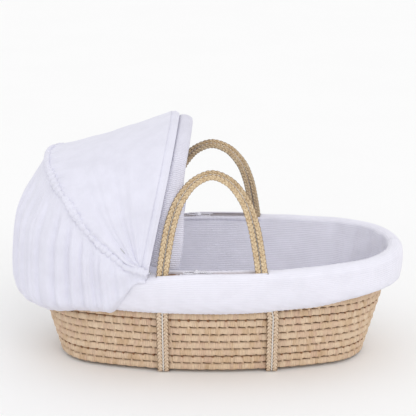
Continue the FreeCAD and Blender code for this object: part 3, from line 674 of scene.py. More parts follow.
# ------------------------------------------------------------------ the plan of the basket
@dataclass(frozen=True)
class Oval:
    """The basket's plan: two end arcs and two side arcs whose centres stay put when it grows."""

    half_length: float = 0.340
    end_radius: float = 0.115
    side_radius: float = 0.800
    flare: float = 0.060
    pitch: float = 0.0182
    courses: int = 13
    first_centre: float = 0.0152
    gauge: float = 0.045

    @property
    def reach(self) -> float:
        """Distance of the end arcs' centres from the middle."""
        return self.half_length - self.end_radius

    @property
    def rise(self) -> float:
        """Distance of the side arcs' centres from the long axis."""
        return math.sqrt((self.side_radius - self.end_radius) ** 2 - self.reach ** 2)

    @property
    def turn(self) -> float:
        """Angle at which an end arc meets a side arc."""
        return math.atan2(self.rise, self.reach)

    @lru_cache(maxsize=None)
    def arcs(self) -> tuple[tuple[float, float, float, float, float], ...]:
        """The arcs from the foot end: (centre x, centre y, radius, first angle, last angle)."""
        turn, reach, rise = self.turn, self.reach, self.rise
        end, side = self.end_radius, self.side_radius
        return ((reach, 0.0, end, 0.0, turn), (0.0, -rise, side, turn, math.pi - turn),
                (-reach, 0.0, end, math.pi - turn, math.pi + turn),
                (0.0, rise, side, math.pi + turn, math.tau - turn),
                (reach, 0.0, end, math.tau - turn, math.tau))

    @lru_cache(maxsize=None)
    def perimeter(self, offset: float) -> float:
        """Length of the plan at an offset."""
        return sum((radius + offset) * (last - first) for _, _, radius, first, last in self.arcs())

    def spot(self, share: float, offset: float) -> tuple[Vector, Vector]:
        """A point on the plan.

        Args:
            share: Position from the foot end, 0 to 1, by way of the far side.
            offset: Distance outside the lowest course.

        Returns:
            The point and its outward direction, both at height 0.
        """
        left = (share % 1.0) * self.perimeter(self.gauge)
        for x, y, radius, first, last in self.arcs():
            span = (radius + self.gauge) * (last - first)
            if left <= span or last == math.tau:
                angle = first + left / (radius + self.gauge)
                out = Vector((math.cos(angle), math.sin(angle), 0.0))
                return Vector((x, y, 0.0)) + out * (radius + offset), out
            left -= span
        raise ValueError("share outside the plan")

    def share_of(self, x: float, y: float) -> float:
        """Position round the plan, 0 to 1, of a point near the wall."""
        angle_foot = math.atan2(y, x - self.reach)
        angle_head = math.atan2(y, -x - self.reach)
        passed = 0.0
        if abs(angle_foot) <= self.turn and x > 0:
            pick, angle = (0, angle_foot) if angle_foot >= 0 else (4, angle_foot + math.tau)
        elif abs(angle_head) <= self.turn:
            pick, angle = 2, math.pi - angle_head
        elif y > 0:
            pick, angle = 1, math.atan2(y + self.rise, x)
        else:
            pick, angle = 3, math.atan2(y - self.rise, x) + math.tau
        for index, (_, _, radius, first, last) in enumerate(self.arcs()):
            if index == pick:
                passed += (radius + self.gauge) * (angle - first)
                break
            passed += (radius + self.gauge) * (last - first)
        return passed / self.perimeter(self.gauge)

    def half_width(self, x: float, offset: float) -> float:
        """Distance from the long axis to the plan, on its side arc."""
        return math.sqrt((self.side_radius + offset) ** 2 - x ** 2) - self.rise

    def level(self, course: float) -> float:
        """Height of the middle of a course, counted from 0."""
        return self.first_centre + self.pitch * course

    def wall(self, height: float) -> float:
        """Offset of the wall's outer face at a height."""
        return self.flare * (height - self.first_centre) / (self.pitch * (self.courses - 1))


PLAN = Oval()
RIM_TOP = 0.2426


# ------------------------------------------------------------------ coiled wicker
@dataclass
class Wicker:
    """The wall: courses of husk coil, each sewn to the one below."""

    stitch_spacing: float = 0.0196
    coil_width: float = 0.013
    coil_height: float = 0.0166
    pinch: float = 0.13
    stitch_depth: float = 0.0032

    def course(self, index: int, material: bpy.types.Material) -> bpy.types.Object:
        """One ring of wrapped coil, drawn in where each stitch holds it.

        Args:
            index: Number of the course, 0 at the bottom.
            material: Its finish.

        Returns:
            The ring.
        """
        height = PLAN.level(index)
        middle = PLAN.wall(height) - self.coil_width / 2
        length = PLAN.perimeter(middle)
        count = round(length / self.stitch_spacing)

        def chart(u: float, v: float) -> Vector:
            """Point of the coil's skin: a rounded box section, drawn in at the stitches."""
            point, out = PLAN.spot(u, middle)
            point.z = height
            phase = u * count + 0.5 * (index % 2) + 0.12 * math.sin(index * 2.1)
            near = abs(phase - round(phase)) * self.stitch_spacing
            squeeze = 1 - self.pinch * math.exp(-(near / 0.0026) ** 2)
            x, y = (math.copysign(0.5 * abs(part) ** 0.62, part)
                    for part in (math.cos(math.tau * v), math.sin(math.tau * v)))
            arm = out * x * self.coil_width + Vector((0.0, 0.0, y * self.coil_height * squeeze))
            around = point + arm * 0.5
            lump = 1 + 0.07 * noise.noise(Vector((around.x * 70, around.y * 70, around.z * 90 + index)))
            return point + arm * lump * mix(1.0, squeeze, 0.5)

        bm = warp_grid(count * 7, 12, chart, (length, 1.0))
        layer = bm.loops.layers.uv.verify()
        for face in bm.faces:
            for loop in face.loops:
                loop[layer].uv = (loop[layer].uv.x + index * 0.37, loop.vert.co.z)
        last_course = index == PLAN.courses - 1
        name = "rim" if last_course else f"course_{index + 1:02d}"
        node = "rim_coil" if last_course else f"wall_coil_{index + 1:02d}"
        return put(f"{name}_husk", bm, material, [node])

    def stitches(self, index: int, material: bpy.types.Material) -> bpy.types.Object:
        """The husk strips that cross the groove above a course.

        Args:
            index: Number of the course below the groove.
            material: Their finish.

        Returns:
            All the strips of that groove as one piece.
        """
        height = PLAN.level(index + 0.5)
        length = PLAN.perimeter(PLAN.wall(height) - 0.0002)
        count = round(length / self.stitch_spacing)
        lean = math.atan2(PLAN.flare, PLAN.pitch * (PLAN.courses - 1))
        strip = self._strip()
        bm = bmesh.new()
        for number in range(count):
            jitter = noise.noise(Vector((number * 1.37, index * 2.9, 0.5)))
            share = (number + 0.5 * (index % 2) + 0.16 * jitter) / count
            point, out = PLAN.spot(share, PLAN.wall(height) - self.stitch_depth)
            point.z = height
            turn = Matrix.Rotation(math.atan2(out.y, out.x), 4, "Z")
            slant = Matrix.Rotation(0.28 + 0.25 * jitter, 4, "X")
            size = Matrix.Diagonal((0.0027, 0.0028 + 0.0006 * jitter, 0.0066, 1.0))
            place = Matrix.Translation(point) @ turn @ Matrix.Rotation(lean, 4, "Y") @ slant @ size
            copy = strip.copy()
            copy.transform(place)
            bm.from_mesh(copy)
            bpy.data.meshes.remove(copy)
        bpy.data.meshes.remove(strip)
        layer = bm.loops.layers.uv.verify()
        for vert in bm.verts:
            spot = (PLAN.share_of(vert.co.x, vert.co.y) * length, vert.co.z * 0.2 + PLAN.first_centre)
            for loop in vert.link_loops:
                loop[layer].uv = spot
        return put(f"groove_{index + 1:02d}_stitches", bm, material)

    @staticmethod
    def _strip() -> bpy.types.Mesh:
        """A unit bead, the shape of every stitch before it is stretched."""
        bm = bmesh.new()
        bmesh.ops.create_uvsphere(bm, u_segments=7, v_segments=5, radius=1.0)
        return as_mesh("strip", bm)

    def build(self, wardrobe: Wardrobe) -> None:
        """Builds and dresses the wall."""
        for index in range(PLAN.courses):
            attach(self.course(index, wardrobe.coil), "basket")
        for index in range(PLAN.courses - 1):
            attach(self.stitches(index, wardrobe.coil), "basket")


# ------------------------------------------------------------------ plaits
@dataclass
class Plait:
    """A flat plait of three husk strands."""

    width: float = 0.0126
    thickness: float = 0.0068
    strand_width: float = 0.0060
    strand_thickness: float = 0.0036
    wave: float = 0.028
    step: float = 0.0022

    def strand(self, track: Track, shift: Shift, lag: float) -> bmesh.types.BMesh:
        """One strand.

        Args:
            track: Line of the whole band.
            shift: (sideways, outwards) distance of the plait from the band's line at a share along it.
            lag: Where the strand is in the weave, 0 to 1.

        Returns:
            The strand's mesh.
        """
        length = track.length
        sway = (self.width - self.strand_width) / 2
        dive = (self.thickness - self.strand_thickness) / 2

        def line(share: float) -> Vector:
            """Centre of the strand."""
            point, wide, face = track.at(share)
            side, out = shift(share)
            phase = math.tau * (share * length / self.wave + lag)
            return point + wide * (side + sway * math.sin(phase)) + face * (out + dive * math.sin(2 * phase))

        def section(share: float, around: float) -> tuple[float, float]:
            """A flat oval, a little irregular."""
            x, y = oval(around, 1.0, 1.0)
            rough = 1 + 0.10 * noise.noise(Vector((share * length * 160, lag * 9 + x, y)))
            return oval(around, self.strand_width / 2 * rough, self.strand_thickness / 2 * rough)

        steps = round(length / self.step)
        return tube_along(line, section, lambda share: track.at(share)[2], length, steps, 8)

    def band(self, name: str, track: Track, shift: Shift, material: bpy.types.Material,
             nodes: Sequence[str]) -> bpy.types.Object:
        """The three strands of a plait as one piece."""
        whole = bmesh.new()
        for lag in (0.0, 1 / 3, 2 / 3):
            mesh = as_mesh("strand", self.strand(track, shift, lag))
            whole.from_mesh(mesh)
            bpy.data.meshes.remove(mesh)
        return put(name, whole, material, nodes)


@dataclass
class Straps:
    """The two bands that run under the base and up both walls, and the carrying handles they become."""

    head_x: float = -0.104
    foot_x: float = 0.128
    spacing: float = 0.0134
    turn_height: float = 0.145
    clearance: float = 0.0041
    sole_height: float = 0.0031
    tail_height: float = 0.208
    handle_foot: float = 0.101518
    twine_radius: float = 0.0015
    crown_roll: float = math.radians(64.0)
    arch: tuple[tuple[float, float], ...] = (
        (0.0, 0.208), (0.0350, 0.1935), (0.0575, 0.168), (0.0725, 0.141), (0.0842, 0.104), (0.0898, 0.078),
        (0.0966, 0.038), (0.1013, 0.004))

    def distance(self, x: float, offset: float) -> float:
        """Distance of a strap's middle from the long axis where the wall has that offset."""
        return PLAN.half_width(abs(x) - self.spacing / 2 - 0.006, offset) + self.clearance

    def corners(self, x: float, rim_x: float) -> list[Vector]:
        """Corners of a strap's line on the far half, from the rim down to the base."""
        top = RIM_TOP - 0.0002
        high_y = self.distance(rim_x, PLAN.wall(top))
        low_y = self.distance(x, 0.0)
        turn_y = self.distance(x, PLAN.wall(self.turn_height))
        slope = (turn_y - low_y) / (self.turn_height - PLAN.first_centre)
        base_y = low_y - slope * (PLAN.first_centre - 0.003)
        return [Vector((rim_x, high_y, top)), Vector((x, turn_y, self.turn_height)),
                Vector((x, base_y, self.sole_height))]

    def strap_track(self, x: float, rim_x: float) -> Track:
        """Line of a strap from skirt to skirt, under the base."""
        rim, turn, base = self.corners(x, rim_x)
        share = (rim.z - self.tail_height) / (rim.z - turn.z)
        half = [mix(rim, turn, share), turn, base]
        route = [Vector((p.x, -p.y, p.z)) for p in half] + half[::-1]
        return Track.through(route, lambda travel: Vector((-1.0, 0.0, 0.0)), 0.014)

    def handle_track(self, edge: int, lean: float) -> Track:
        """Line of a handle with the tails that it shares with its two straps.

        Args:
            edge: -1 for the near side, 1 for the far side.
            lean: How far the loop leans inwards, in radians.

        Returns:
            The track from the foot nearer the hood to the other foot.
        """
        head = self.corners(self.head_x, -self.handle_foot)
        foot = self.corners(self.foot_x, self.handle_foot)
        pivot = Vector((0.0, edge * head[0].y, RIM_TOP + 0.002))
        share = (head[0].z - self.tail_height) / (head[0].z - head[1].z)
        right = [Vector((x, 0.0, z)) for x, z in self.arch]
        left = [Vector((-x, 0.0, z)) for x, z in self.arch[:0:-1]]
        flat = [spline(left + right, index / 90) for index in range(91)]
        tip = Matrix.Rotation(edge * lean, 3, "X")
        loop = [pivot + tip @ point for point in flat]
        tails = []
        for corner in (head, foot):
            low = mix(corner[0], corner[1], share)
            tails.append(Vector((low.x, edge * low.y, low.z)))
        route = [tails[0]] + loop + [tails[1]]
        out = Vector((0.0, float(edge), 0.0))
        return Track.through(route, lambda travel: travel.cross(out) * edge, 0.012)

    def build(self, wardrobe: Wardrobe) -> None:
        """Builds and dresses straps and handles."""
        plait = Plait()
        foot = self.handle_foot
        for prefix, x, rim_x in (("head_strap", self.head_x, -foot), ("foot_strap", self.foot_x, foot)):
            track = self.strap_track(x, rim_x)
            for letter, side in (("a", 0.5), ("b", -0.5)):
                shift = (lambda share, side=side: (side * self.spacing, 0.0))
                nodes = [f"{prefix}_plait_{letter}"]
                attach(plait.band(f"{prefix}_{letter}_husk", track, shift, wardrobe.strap, nodes), "basket")
            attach(self.seam(prefix, track, 0.0012, wardrobe.twine), "basket")
        for side_name, edge, lean in (("front", -1, math.radians(5.0)), ("back", 1, math.radians(22.0))):
            track = self.handle_track(edge, lean)
            prefix = f"handle_{side_name}"
            for letter, side in (("a", 0.5), ("b", -0.5)):
                shift, nodes = self._rolled(side * self.spacing), [f"{prefix}_plait_{letter}"]
                piece = plait.band(f"{prefix}_{letter}_husk", track, shift, wardrobe.plait, nodes)
                self._hinge(piece, prefix, edge)
            self._hinge(self.seam(prefix, track, 0.0024, wardrobe.twine), prefix, edge)

    def _rolled(self, side: float) -> Shift:
        """Place of one plait in the band, which rolls together towards the crown."""
        def shift(share: float) -> tuple[float, float]:
            """(sideways, outwards) distance."""
            roll = self.crown_roll * ease(1 - abs(share - 0.5) / 0.36, 0.0, 1.0)
            return side * math.cos(roll), side * math.sin(roll)
        return shift

    @staticmethod
    def _hinge(piece: bpy.types.Object, body: str, edge: int) -> None:
        """Bakes a handle piece's transform into its mesh."""
        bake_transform(piece)

    def seam(self, prefix: str, track: Track, out: float, material: bpy.types.Material) -> bpy.types.Object:
        """The twine that joins two plaits, zigzagging out metres above the groove between them."""
        length = track.length

        def line(share: float) -> Vector:
            """Centre of the twine."""
            point, wide, face = track.at(share)
            return point + wide * 0.0004 * math.sin(math.tau * share * length / 0.009) + face * out

        def section(share: float, around: float) -> tuple[float, float]:
            """Round twine."""
            return oval(around, self.twine_radius, self.twine_radius)

        bm = tube_along(line, section, lambda share: track.at(share)[2], length, round(length / 0.0018), 6)
        return put(f"{prefix}_twine", bm, material, [f"{prefix}_stitching"])


# ------------------------------------------------------------------ liner
@dataclass
class Liner:
    """The ribbed liner: inner wall, roll over the rim, outer skirt, hem, and its two slits with bows."""

    slit_half: float = 0.112
    foot_rise: float = 0.006
    hinge_droop: float = 0.008
    section_length: float = 0.36
    thickness: float = 0.0022

    def profile(self, bulge: float) -> list[Vector]:
        """Section of the liner from the mattress up and over the rim to the hem, as (offset, height).

        Args:
            bulge: How far the skirt stands off, 0 on the long sides and 1 at the ends.

        Returns:
            The points of the section.
        """
        rim = PLAN.flare
        inner = [(PLAN.wall(z) - 0.0166, z) for z in (0.022, 0.060, 0.100, 0.140, 0.180, 0.215)]
        crest = [(rim + stand, z) for stand, z in (
            (-0.0160, 0.2360), (-0.0135, 0.2440), (-0.006, 0.2490), (0.004, 0.2490), (0.012, 0.2450),
            (0.0165, 0.2370))]
        outer = [(PLAN.wall(z) + stand + more * bulge, z) for z, stand, more in (
            (0.222, 0.0185, 0.003), (0.205, 0.0205, 0.005), (0.188, 0.0215, 0.006), (0.174, 0.0205, 0.007),
            (0.163, 0.0160, 0.005), (0.156, 0.0090, 0.001), (0.1585, 0.0050, 0.0))]
        return [Vector((offset, 0.0, height)) for offset, height in inner + crest + outer]

    def surface(self, u: float, v: float) -> Vector:
        """Point of the liner, with its soft folds."""
        _, out = PLAN.spot(u, 0.0)
        bulge = abs(out.x) ** 1.5
        spot = spline(self.profile(bulge), v)
        length = PLAN.perimeter(spot.x)
        place = u * length
        skirt = ease(v, 0.68, 0.93)
        inside = ease(0.45 - v, 0.0, 0.2)
        offset = spot.x + skirt * (0.0011 * ripple(place, 0.052, 1.3) + 0.0006 * ripple(place, 0.019, 4.1))
        offset += inside * 0.0016 * ripple(place, 0.085, 7.7) * ease(v, 0.0, 0.12)
        offset += inside * 0.0030 * ripple(place, 0.050, 2.6) * ease(out.x, 0.2, 0.7) * ease(v, 0.0, 0.12)
        offset += ease(v, 0.93, 0.99) * 0.0012 * ripple(place, 0.013, 9.2)
        raised = self.hem_lift(PLAN.spot(u, offset)[0].x) * ease(v, 0.74, 0.95)
        point, _ = PLAN.spot(u, offset + PLAN.wall(PLAN.first_centre + raised))
        top = ease(spot.z, 0.170, 0.240)
        lift = self.foot_rise * ease(point.x, 0.12, 0.40) + self.droop(point.x)
        lift += 0.0035 * ease(0.13 - abs(point.x), 0.0, 0.03) * ease(v, 0.5, 0.555) * ease(0.70 - v, 0.0, 0.1)
        crown = ease(spot.z, 0.2, 0.24) * 0.0012 * noise.noise(Vector((place * 14, 5.0, spot.x * 20)))
        hem = 0.0015 * noise.noise(Vector((place * 9, 2.0, 1.0))) * ease(v, 0.8, 1.0)
        point.z = spot.z + top * lift + crown + hem + raised
        return point

    def droop(self, x: float) -> float:
        """Height that the crest gives up beside the hood's hinges, as a negative number."""
        return -self.hinge_droop * ease(-x, 0.02, 0.14) * ease(0.28 + x, 0.0, 0.10)

    def even_ribs(self, sheet: bmesh.types.BMesh) -> None:
        """Makes the map's v follow the length of the section, so that every rib is equally wide."""
        section = self.profile(0.0)
        steps = [(after - before).length for before, after in zip(section, section[1:])]
        starts = list(accumulate(steps, initial=0.0))
        layer = sheet.loops.layers.uv.verify()
        for loop in (loop for face in sheet.faces for loop in face.loops):
            span = loop[layer].uv.y / self.section_length * len(steps)
            index = min(int(span), len(steps) - 1)
            loop[layer].uv.y = starts[index] + steps[index] * (span - index)

    @staticmethod
    def hem_lift(x: float) -> float:
        """Height that the hem gains towards the foot end."""
        return 0.006 * ease(x, 0.05, 0.20) + 0.021 * ease(x, 0.20, 0.385)

    def in_slit(self, u: float, v: float) -> bool:
        """Whether that place of the sheet is cut away between a handle's feet."""
        point, out = PLAN.spot(u, PLAN.flare)
        return abs(point.x) < self.slit_half and abs(out.y) > 0.8 and 0.355 < v < 0.560

    def build(self, wardrobe: Wardrobe) -> None:
        """Builds and dresses the liner."""
        length = PLAN.perimeter(0.065)
        sheet = warp_grid(480, 72, self.surface, (length, self.section_length),
                          lambda u, v: not self.in_slit(u, v))
        self.even_ribs(sheet)
        nodes = ["liner_wall", "liner_skirt"]
        cloth = put("liner_cloth", sheet, wardrobe.rib, nodes, self.thickness)
        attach(cloth, "basket")
        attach(self.hem(wardrobe.rib), "basket")
        for side, edge in (("front", -1), ("back", 1)):
            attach(self.casing(side, edge, wardrobe.rib), "basket")
            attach(self.slit_hem(side, edge, wardrobe.rib), "basket")

    def hem(self, material: bpy.types.Material) -> bpy.types.Object:
        """The gathered elastic hem, drawn in against the wicker."""
        length = PLAN.perimeter(0.05)

        def chart(u: float, v: float) -> Vector:
            """Point of the hem's roll."""
            place = u * length
            pleat = 1 + 0.22 * ripple(place, 0.011, 2.2)
            across, rise = oval(v, 0.0026 * pleat, 0.0034 * pleat)
            lift = self.hem_lift(PLAN.spot(u, 0.05)[0].x)
            point, _ = PLAN.spot(u, PLAN.wall(0.154 + lift) + 0.0062 + across)
            point.z = 0.1560 + rise + lift
            return point

        bm = warp_grid(520, 10, chart, (length, TURN_LENGTH))
        return put("liner_hem_roll", bm, material, ["hem_elastic"])

    def casing(self, side: str, edge: int, material: bpy.types.Material) -> bpy.types.Object:
        """The narrow tunnel along the inner edge of a slit, from which the bow's cords come."""
        half = self.slit_half + 0.002

        def line(share: float) -> Vector:
            """Centre of the tunnel."""
            x = -half + 2 * half * share
            return Vector((x, edge * (PLAN.half_width(x, PLAN.flare) - 0.0170), 0.2432))

        def section(share: float, around: float) -> tuple[float, float]:
            """A soft flat roll with gathers."""
            gather = 1 + 0.14 * ripple(share * 2 * half, 0.010, 3.3)
            return oval(around, 0.0026 * gather, 0.0046 * gather)

        bm = tube_along(line, section, upright, 2 * half, 110, 12)
        return put(f"slit_casing_{side}", bm, material, [f"slit_binding_{side}"])

    def slit_hem(self, side: str, edge: int, material: bpy.types.Material) -> bpy.types.Object:
        """The turned hem along the skirt's own edge of a slit."""
        half = self.slit_half + 0.001

        def line(share: float) -> Vector:
            """Centre of the turned edge."""
            x = -half + 2 * half * share
            return Vector((x, edge * (PLAN.half_width(x, PLAN.flare) + 0.0118), 0.2484 + self.droop(x)))

        def section(share: float, around: float) -> tuple[float, float]:
            """A small roll."""
            return oval(around, 0.0022, 0.0018)

        bm = tube_along(line, section, upright, 2 * half, 80, 8)
        return put(f"slit_edge_{side}", bm, material)


@dataclass
class Bows:
    """The bows that close the slits: two cord ends and a knot on each side."""

    knot_x: float = -0.032
    diameter: float = 0.003

    @property
    def rim_y(self) -> float:
        """Distance of the rim's middle from the long axis beside a knot."""
        return PLAN.half_width(self.knot_x, PLAN.flare) - 0.0055

    def route(self, edge: int, mirrored: bool) -> list[Vector]:
        """Points of one cord: out of the casing, through the knot, round its loop and back."""
        points = ((-20, 10.0, -0.2), (-13, 7.0, 1.2), (-3, 4.0, 2.2), (8, 3.0, 2.6), (19, 1.5, 2.8),
                  (27, -2.5, 2.8), (27, -10.0, 2.8), (18, -13.0, 2.8), (8, -9.0, 2.8), (-3, -5.5, 2.6),
                  (-14, -4.0, 2.4), (-24, -7.0, 2.2), (-34, -5.0, 2.2))
        turn, lift = (-1, 3.4) if mirrored else (1, 0.0)
        return [Vector((self.knot_x + turn * x / 1000, edge * (self.rim_y - y / 1000),
                        RIM_TOP + (z + lift) / 1000)) for x, y, z in points]

    def cord(self, name: str, points: Sequence[Vector], material: bpy.types.Material) -> bpy.types.Object:
        """A smooth cord along its route's points."""
        curve = bpy.data.curves.new(name, "CURVE")
        curve.dimensions = "3D"
        curve.resolution_u = 8
        curve.bevel_depth = self.diameter / 2
        curve.bevel_resolution = 4
        curve.use_fill_caps = True
        line = curve.splines.new("NURBS")
        line.points.add(len(points) - 1)
        for control, point in zip(line.points, points):
            control.co = (*(point + ORIGIN_SHIFT), 1.0)
        line.order_u = 3
        line.use_endpoint_u = True
        curve.materials.append(material)
        piece = show(name, curve)
        LOG.info("%s: curve of %d points", name, len(points))
        return piece

    def knot(self, side: str, edge: int, material: bpy.types.Material) -> bpy.types.Object:
        """The knot: two soft turns of cord round the crossing."""
        centre = Vector((self.knot_x, edge * (self.rim_y + 0.0008), RIM_TOP + 0.0056))
        bm = bmesh.new()
        bmesh.ops.create_uvsphere(bm, u_segments=24, v_segments=16, radius=1.0)
        for vert in bm.verts:
            groove = 1 - 0.14 * abs(math.sin(2.2 * vert.co.y + 0.8 * vert.co.x)) ** 8
            vert.co = Vector((vert.co.x * 0.0055, vert.co.y * 0.0082, vert.co.z * 0.0052)) * groove
        bmesh.ops.translate(bm, verts=bm.verts, vec=centre)
        return put(f"bow_knot_{side}", bm, material, [f"tie_knot_{side}"])

    def build(self, wardrobe: Wardrobe) -> None:
        """Builds and dresses both bows."""
        for side, edge in (("front", -1), ("back", 1)):
            knot = self.knot(side, edge, wardrobe.tie)
            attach(knot, "basket")
            for letter, mirrored in (("a", False), ("b", True)):
                points = self.route(edge, mirrored)
                piece = self.cord(f"bow_cord_{side}_{letter}", points, wardrobe.tie)
                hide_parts(f"tie_cord_{side}_{letter}")
                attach(piece, "basket")


# ------------------------------------------------------------------ mattress
@dataclass
class Mattress:
    """A soft pad in a quilted cover, puffed up by a short cloth simulation."""

    inset: float = 0.0235
    low: float = 0.0255
    high: float = 0.0555
    limit: float = 0.003
    frames: int = 20

    def build(self, wardrobe: Wardrobe) -> None:
        """Builds, puffs and dresses the pad."""
        bm = bmesh.new()
        bmesh.ops.create_circle(bm, segments=160, radius=1.0, cap_ends=True)
        for index, vert in enumerate(bm.verts):
            vert.co = PLAN.spot(index / 160, -self.inset)[0] + Vector((0.0, 0.0, self.low))
        made = bmesh.ops.extrude_face_region(bm, geom=bm.faces[:])
        top = [item for item in made["geom"] if isinstance(item, bmesh.types.BMVert)]
        bmesh.ops.translate(bm, verts=top, vec=(0.0, 0.0, self.high - self.low))
        bmesh.ops.recalc_face_normals(bm, faces=bm.faces)
        flat = [edge for edge in bm.edges if abs(edge.verts[0].co.z - edge.verts[1].co.z) < 1e-6]
        bmesh.ops.bevel(bm, geom=flat, offset=0.008, segments=3, profile=0.5, affect="EDGES", material=-1)
        pad = put("mattress_pad", bm, wardrobe.quilt, ["mattress_cover"])
        self._puff(pad)
        self._wrap(pad)
        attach(pad, "mattress")

    def _puff(self, pad: bpy.types.Object) -> None:
        """Remeshes the pad and lets pressure round it; no point moves further than the limit."""
        bpy.context.view_layer.objects.active = pad
        remesh = pad.modifiers.new("even", "REMESH")
        remesh.mode = "VOXEL"
        remesh.voxel_size = 0.006
        bpy.ops.object.modifier_apply(modifier=remesh.name)
        start = [vert.co.copy() for vert in pad.data.vertices]
        cloth = pad.modifiers.new("cloth", "CLOTH")
        cloth.settings.use_pressure = True
        cloth.settings.uniform_pressure_force = 4.0
        cloth.settings.effector_weights.gravity = 0.0
        cloth.settings.quality = 5
        scene = bpy.context.scene
        for number in range(1, self.frames + 1):
            scene.frame_set(number)
        bpy.ops.object.modifier_apply(modifier=cloth.name)
        scene.frame_set(1)
        for vert, origin in zip(pad.data.vertices, start):
            step = vert.co - origin
            if step.length > self.limit:
                vert.co = origin + step * (self.limit / step.length)

    @staticmethod
    def _wrap(pad: bpy.types.Object) -> None:
        """Gives the pad a plan-view UV map in metres and smooth faces."""
        layer = pad.data.uv_layers.get("UVMap") or pad.data.uv_layers.new(name="UVMap")
        for loop in pad.data.loops:
            co = pad.data.vertices[loop.vertex_index].co
            layer.data[loop.index].uv = (co.x, co.y + co.z)
        for face in pad.data.polygons:
            face.use_smooth = True


# ------------------------------------------------------------------ hood
@dataclass(frozen=True)
class Hoop:
    """A bent hoop on the hinge line: crown arc, shoulder arcs and straight legs."""

    half_width: float
    height: float
    lean: float
    foot: float = 0.030
    shoulder: float = 0.130
    crown: float = 0.300
    hinge_x: float = -0.138
    hinge_z: float = 0.257

    def flare(self, height: float) -> float:
        """How far the cloth stands outside the hoop near its foot, to pass over the hinge and the crest."""
        return 0.0105 * (1 - ease(height, -0.005, 0.050))

    def sag(self, height: float) -> float:
        """How far the gathered seam hangs behind its wire beside the head, in metres."""
        return 0.021 * ease(height, -0.012, 0.040) * (1 - ease(height, 0.10, 0.235))

    def grown(self, by: float, foot: float) -> "Hoop":
        """The same hoop a little larger, for cloth that lies on it."""
        return Hoop(self.half_width + by, self.height + by, self.lean, foot, self.shoulder + by,
                    self.crown + by)

    def outline(self, share: float) -> tuple[float, float, float]:
        """A place on the hoop in its own plane.

        Args:
            share: 0 at the near foot, 1 at the far foot.

        Returns:
            (y, height, angle of the outward direction above the horizontal).
        """
        across = self.half_width - self.shoulder
        rise = math.sqrt((self.crown - self.shoulder) ** 2 - across ** 2)
        turn = math.atan2(rise, across)
        knee = self.height - self.crown + rise
        leg, bend = knee - self.foot, self.shoulder * turn
        half = leg + bend + self.crown * (math.pi / 2 - turn)
        side = -1.0 if share < 0.5 else 1.0
        left = half * (1 - abs(2 * share - 1))
        if left < leg:
            return side * self.half_width, self.foot + left, 0.0
        if left < leg + bend:
            angle = (left - leg) / self.shoulder
            y = across + self.shoulder * math.cos(angle)
            return side * y, knee + self.shoulder * math.sin(angle), angle
        angle = turn + (left - leg - bend) / self.crown
        return side * self.crown * math.cos(angle), self.height + self.crown * (math.sin(angle) - 1), angle

    def point(self, share: float, forward: float = 0.0, outward: float = 0.0) -> Vector:
        """A point beside the hoop, forward of its plane and outward from its line."""
        y, height, angle = self.outline(share)
        side = -1.0 if share < 0.5 else 1.0
        y += side * outward * math.cos(angle)
        height += outward * math.sin(angle)
        return Vector((self.hinge_x + height * math.sin(self.lean) + forward * math.cos(self.lean), y,
                       self.hinge_z + height * math.cos(self.lean) - forward * math.sin(self.lean)))

    def length(self) -> float:
        """Length of the hoop from foot to foot."""
        points = [self.point(index / 60) for index in range(61)]
        return sum((b - a).length for a, b in zip(points, points[1:]))


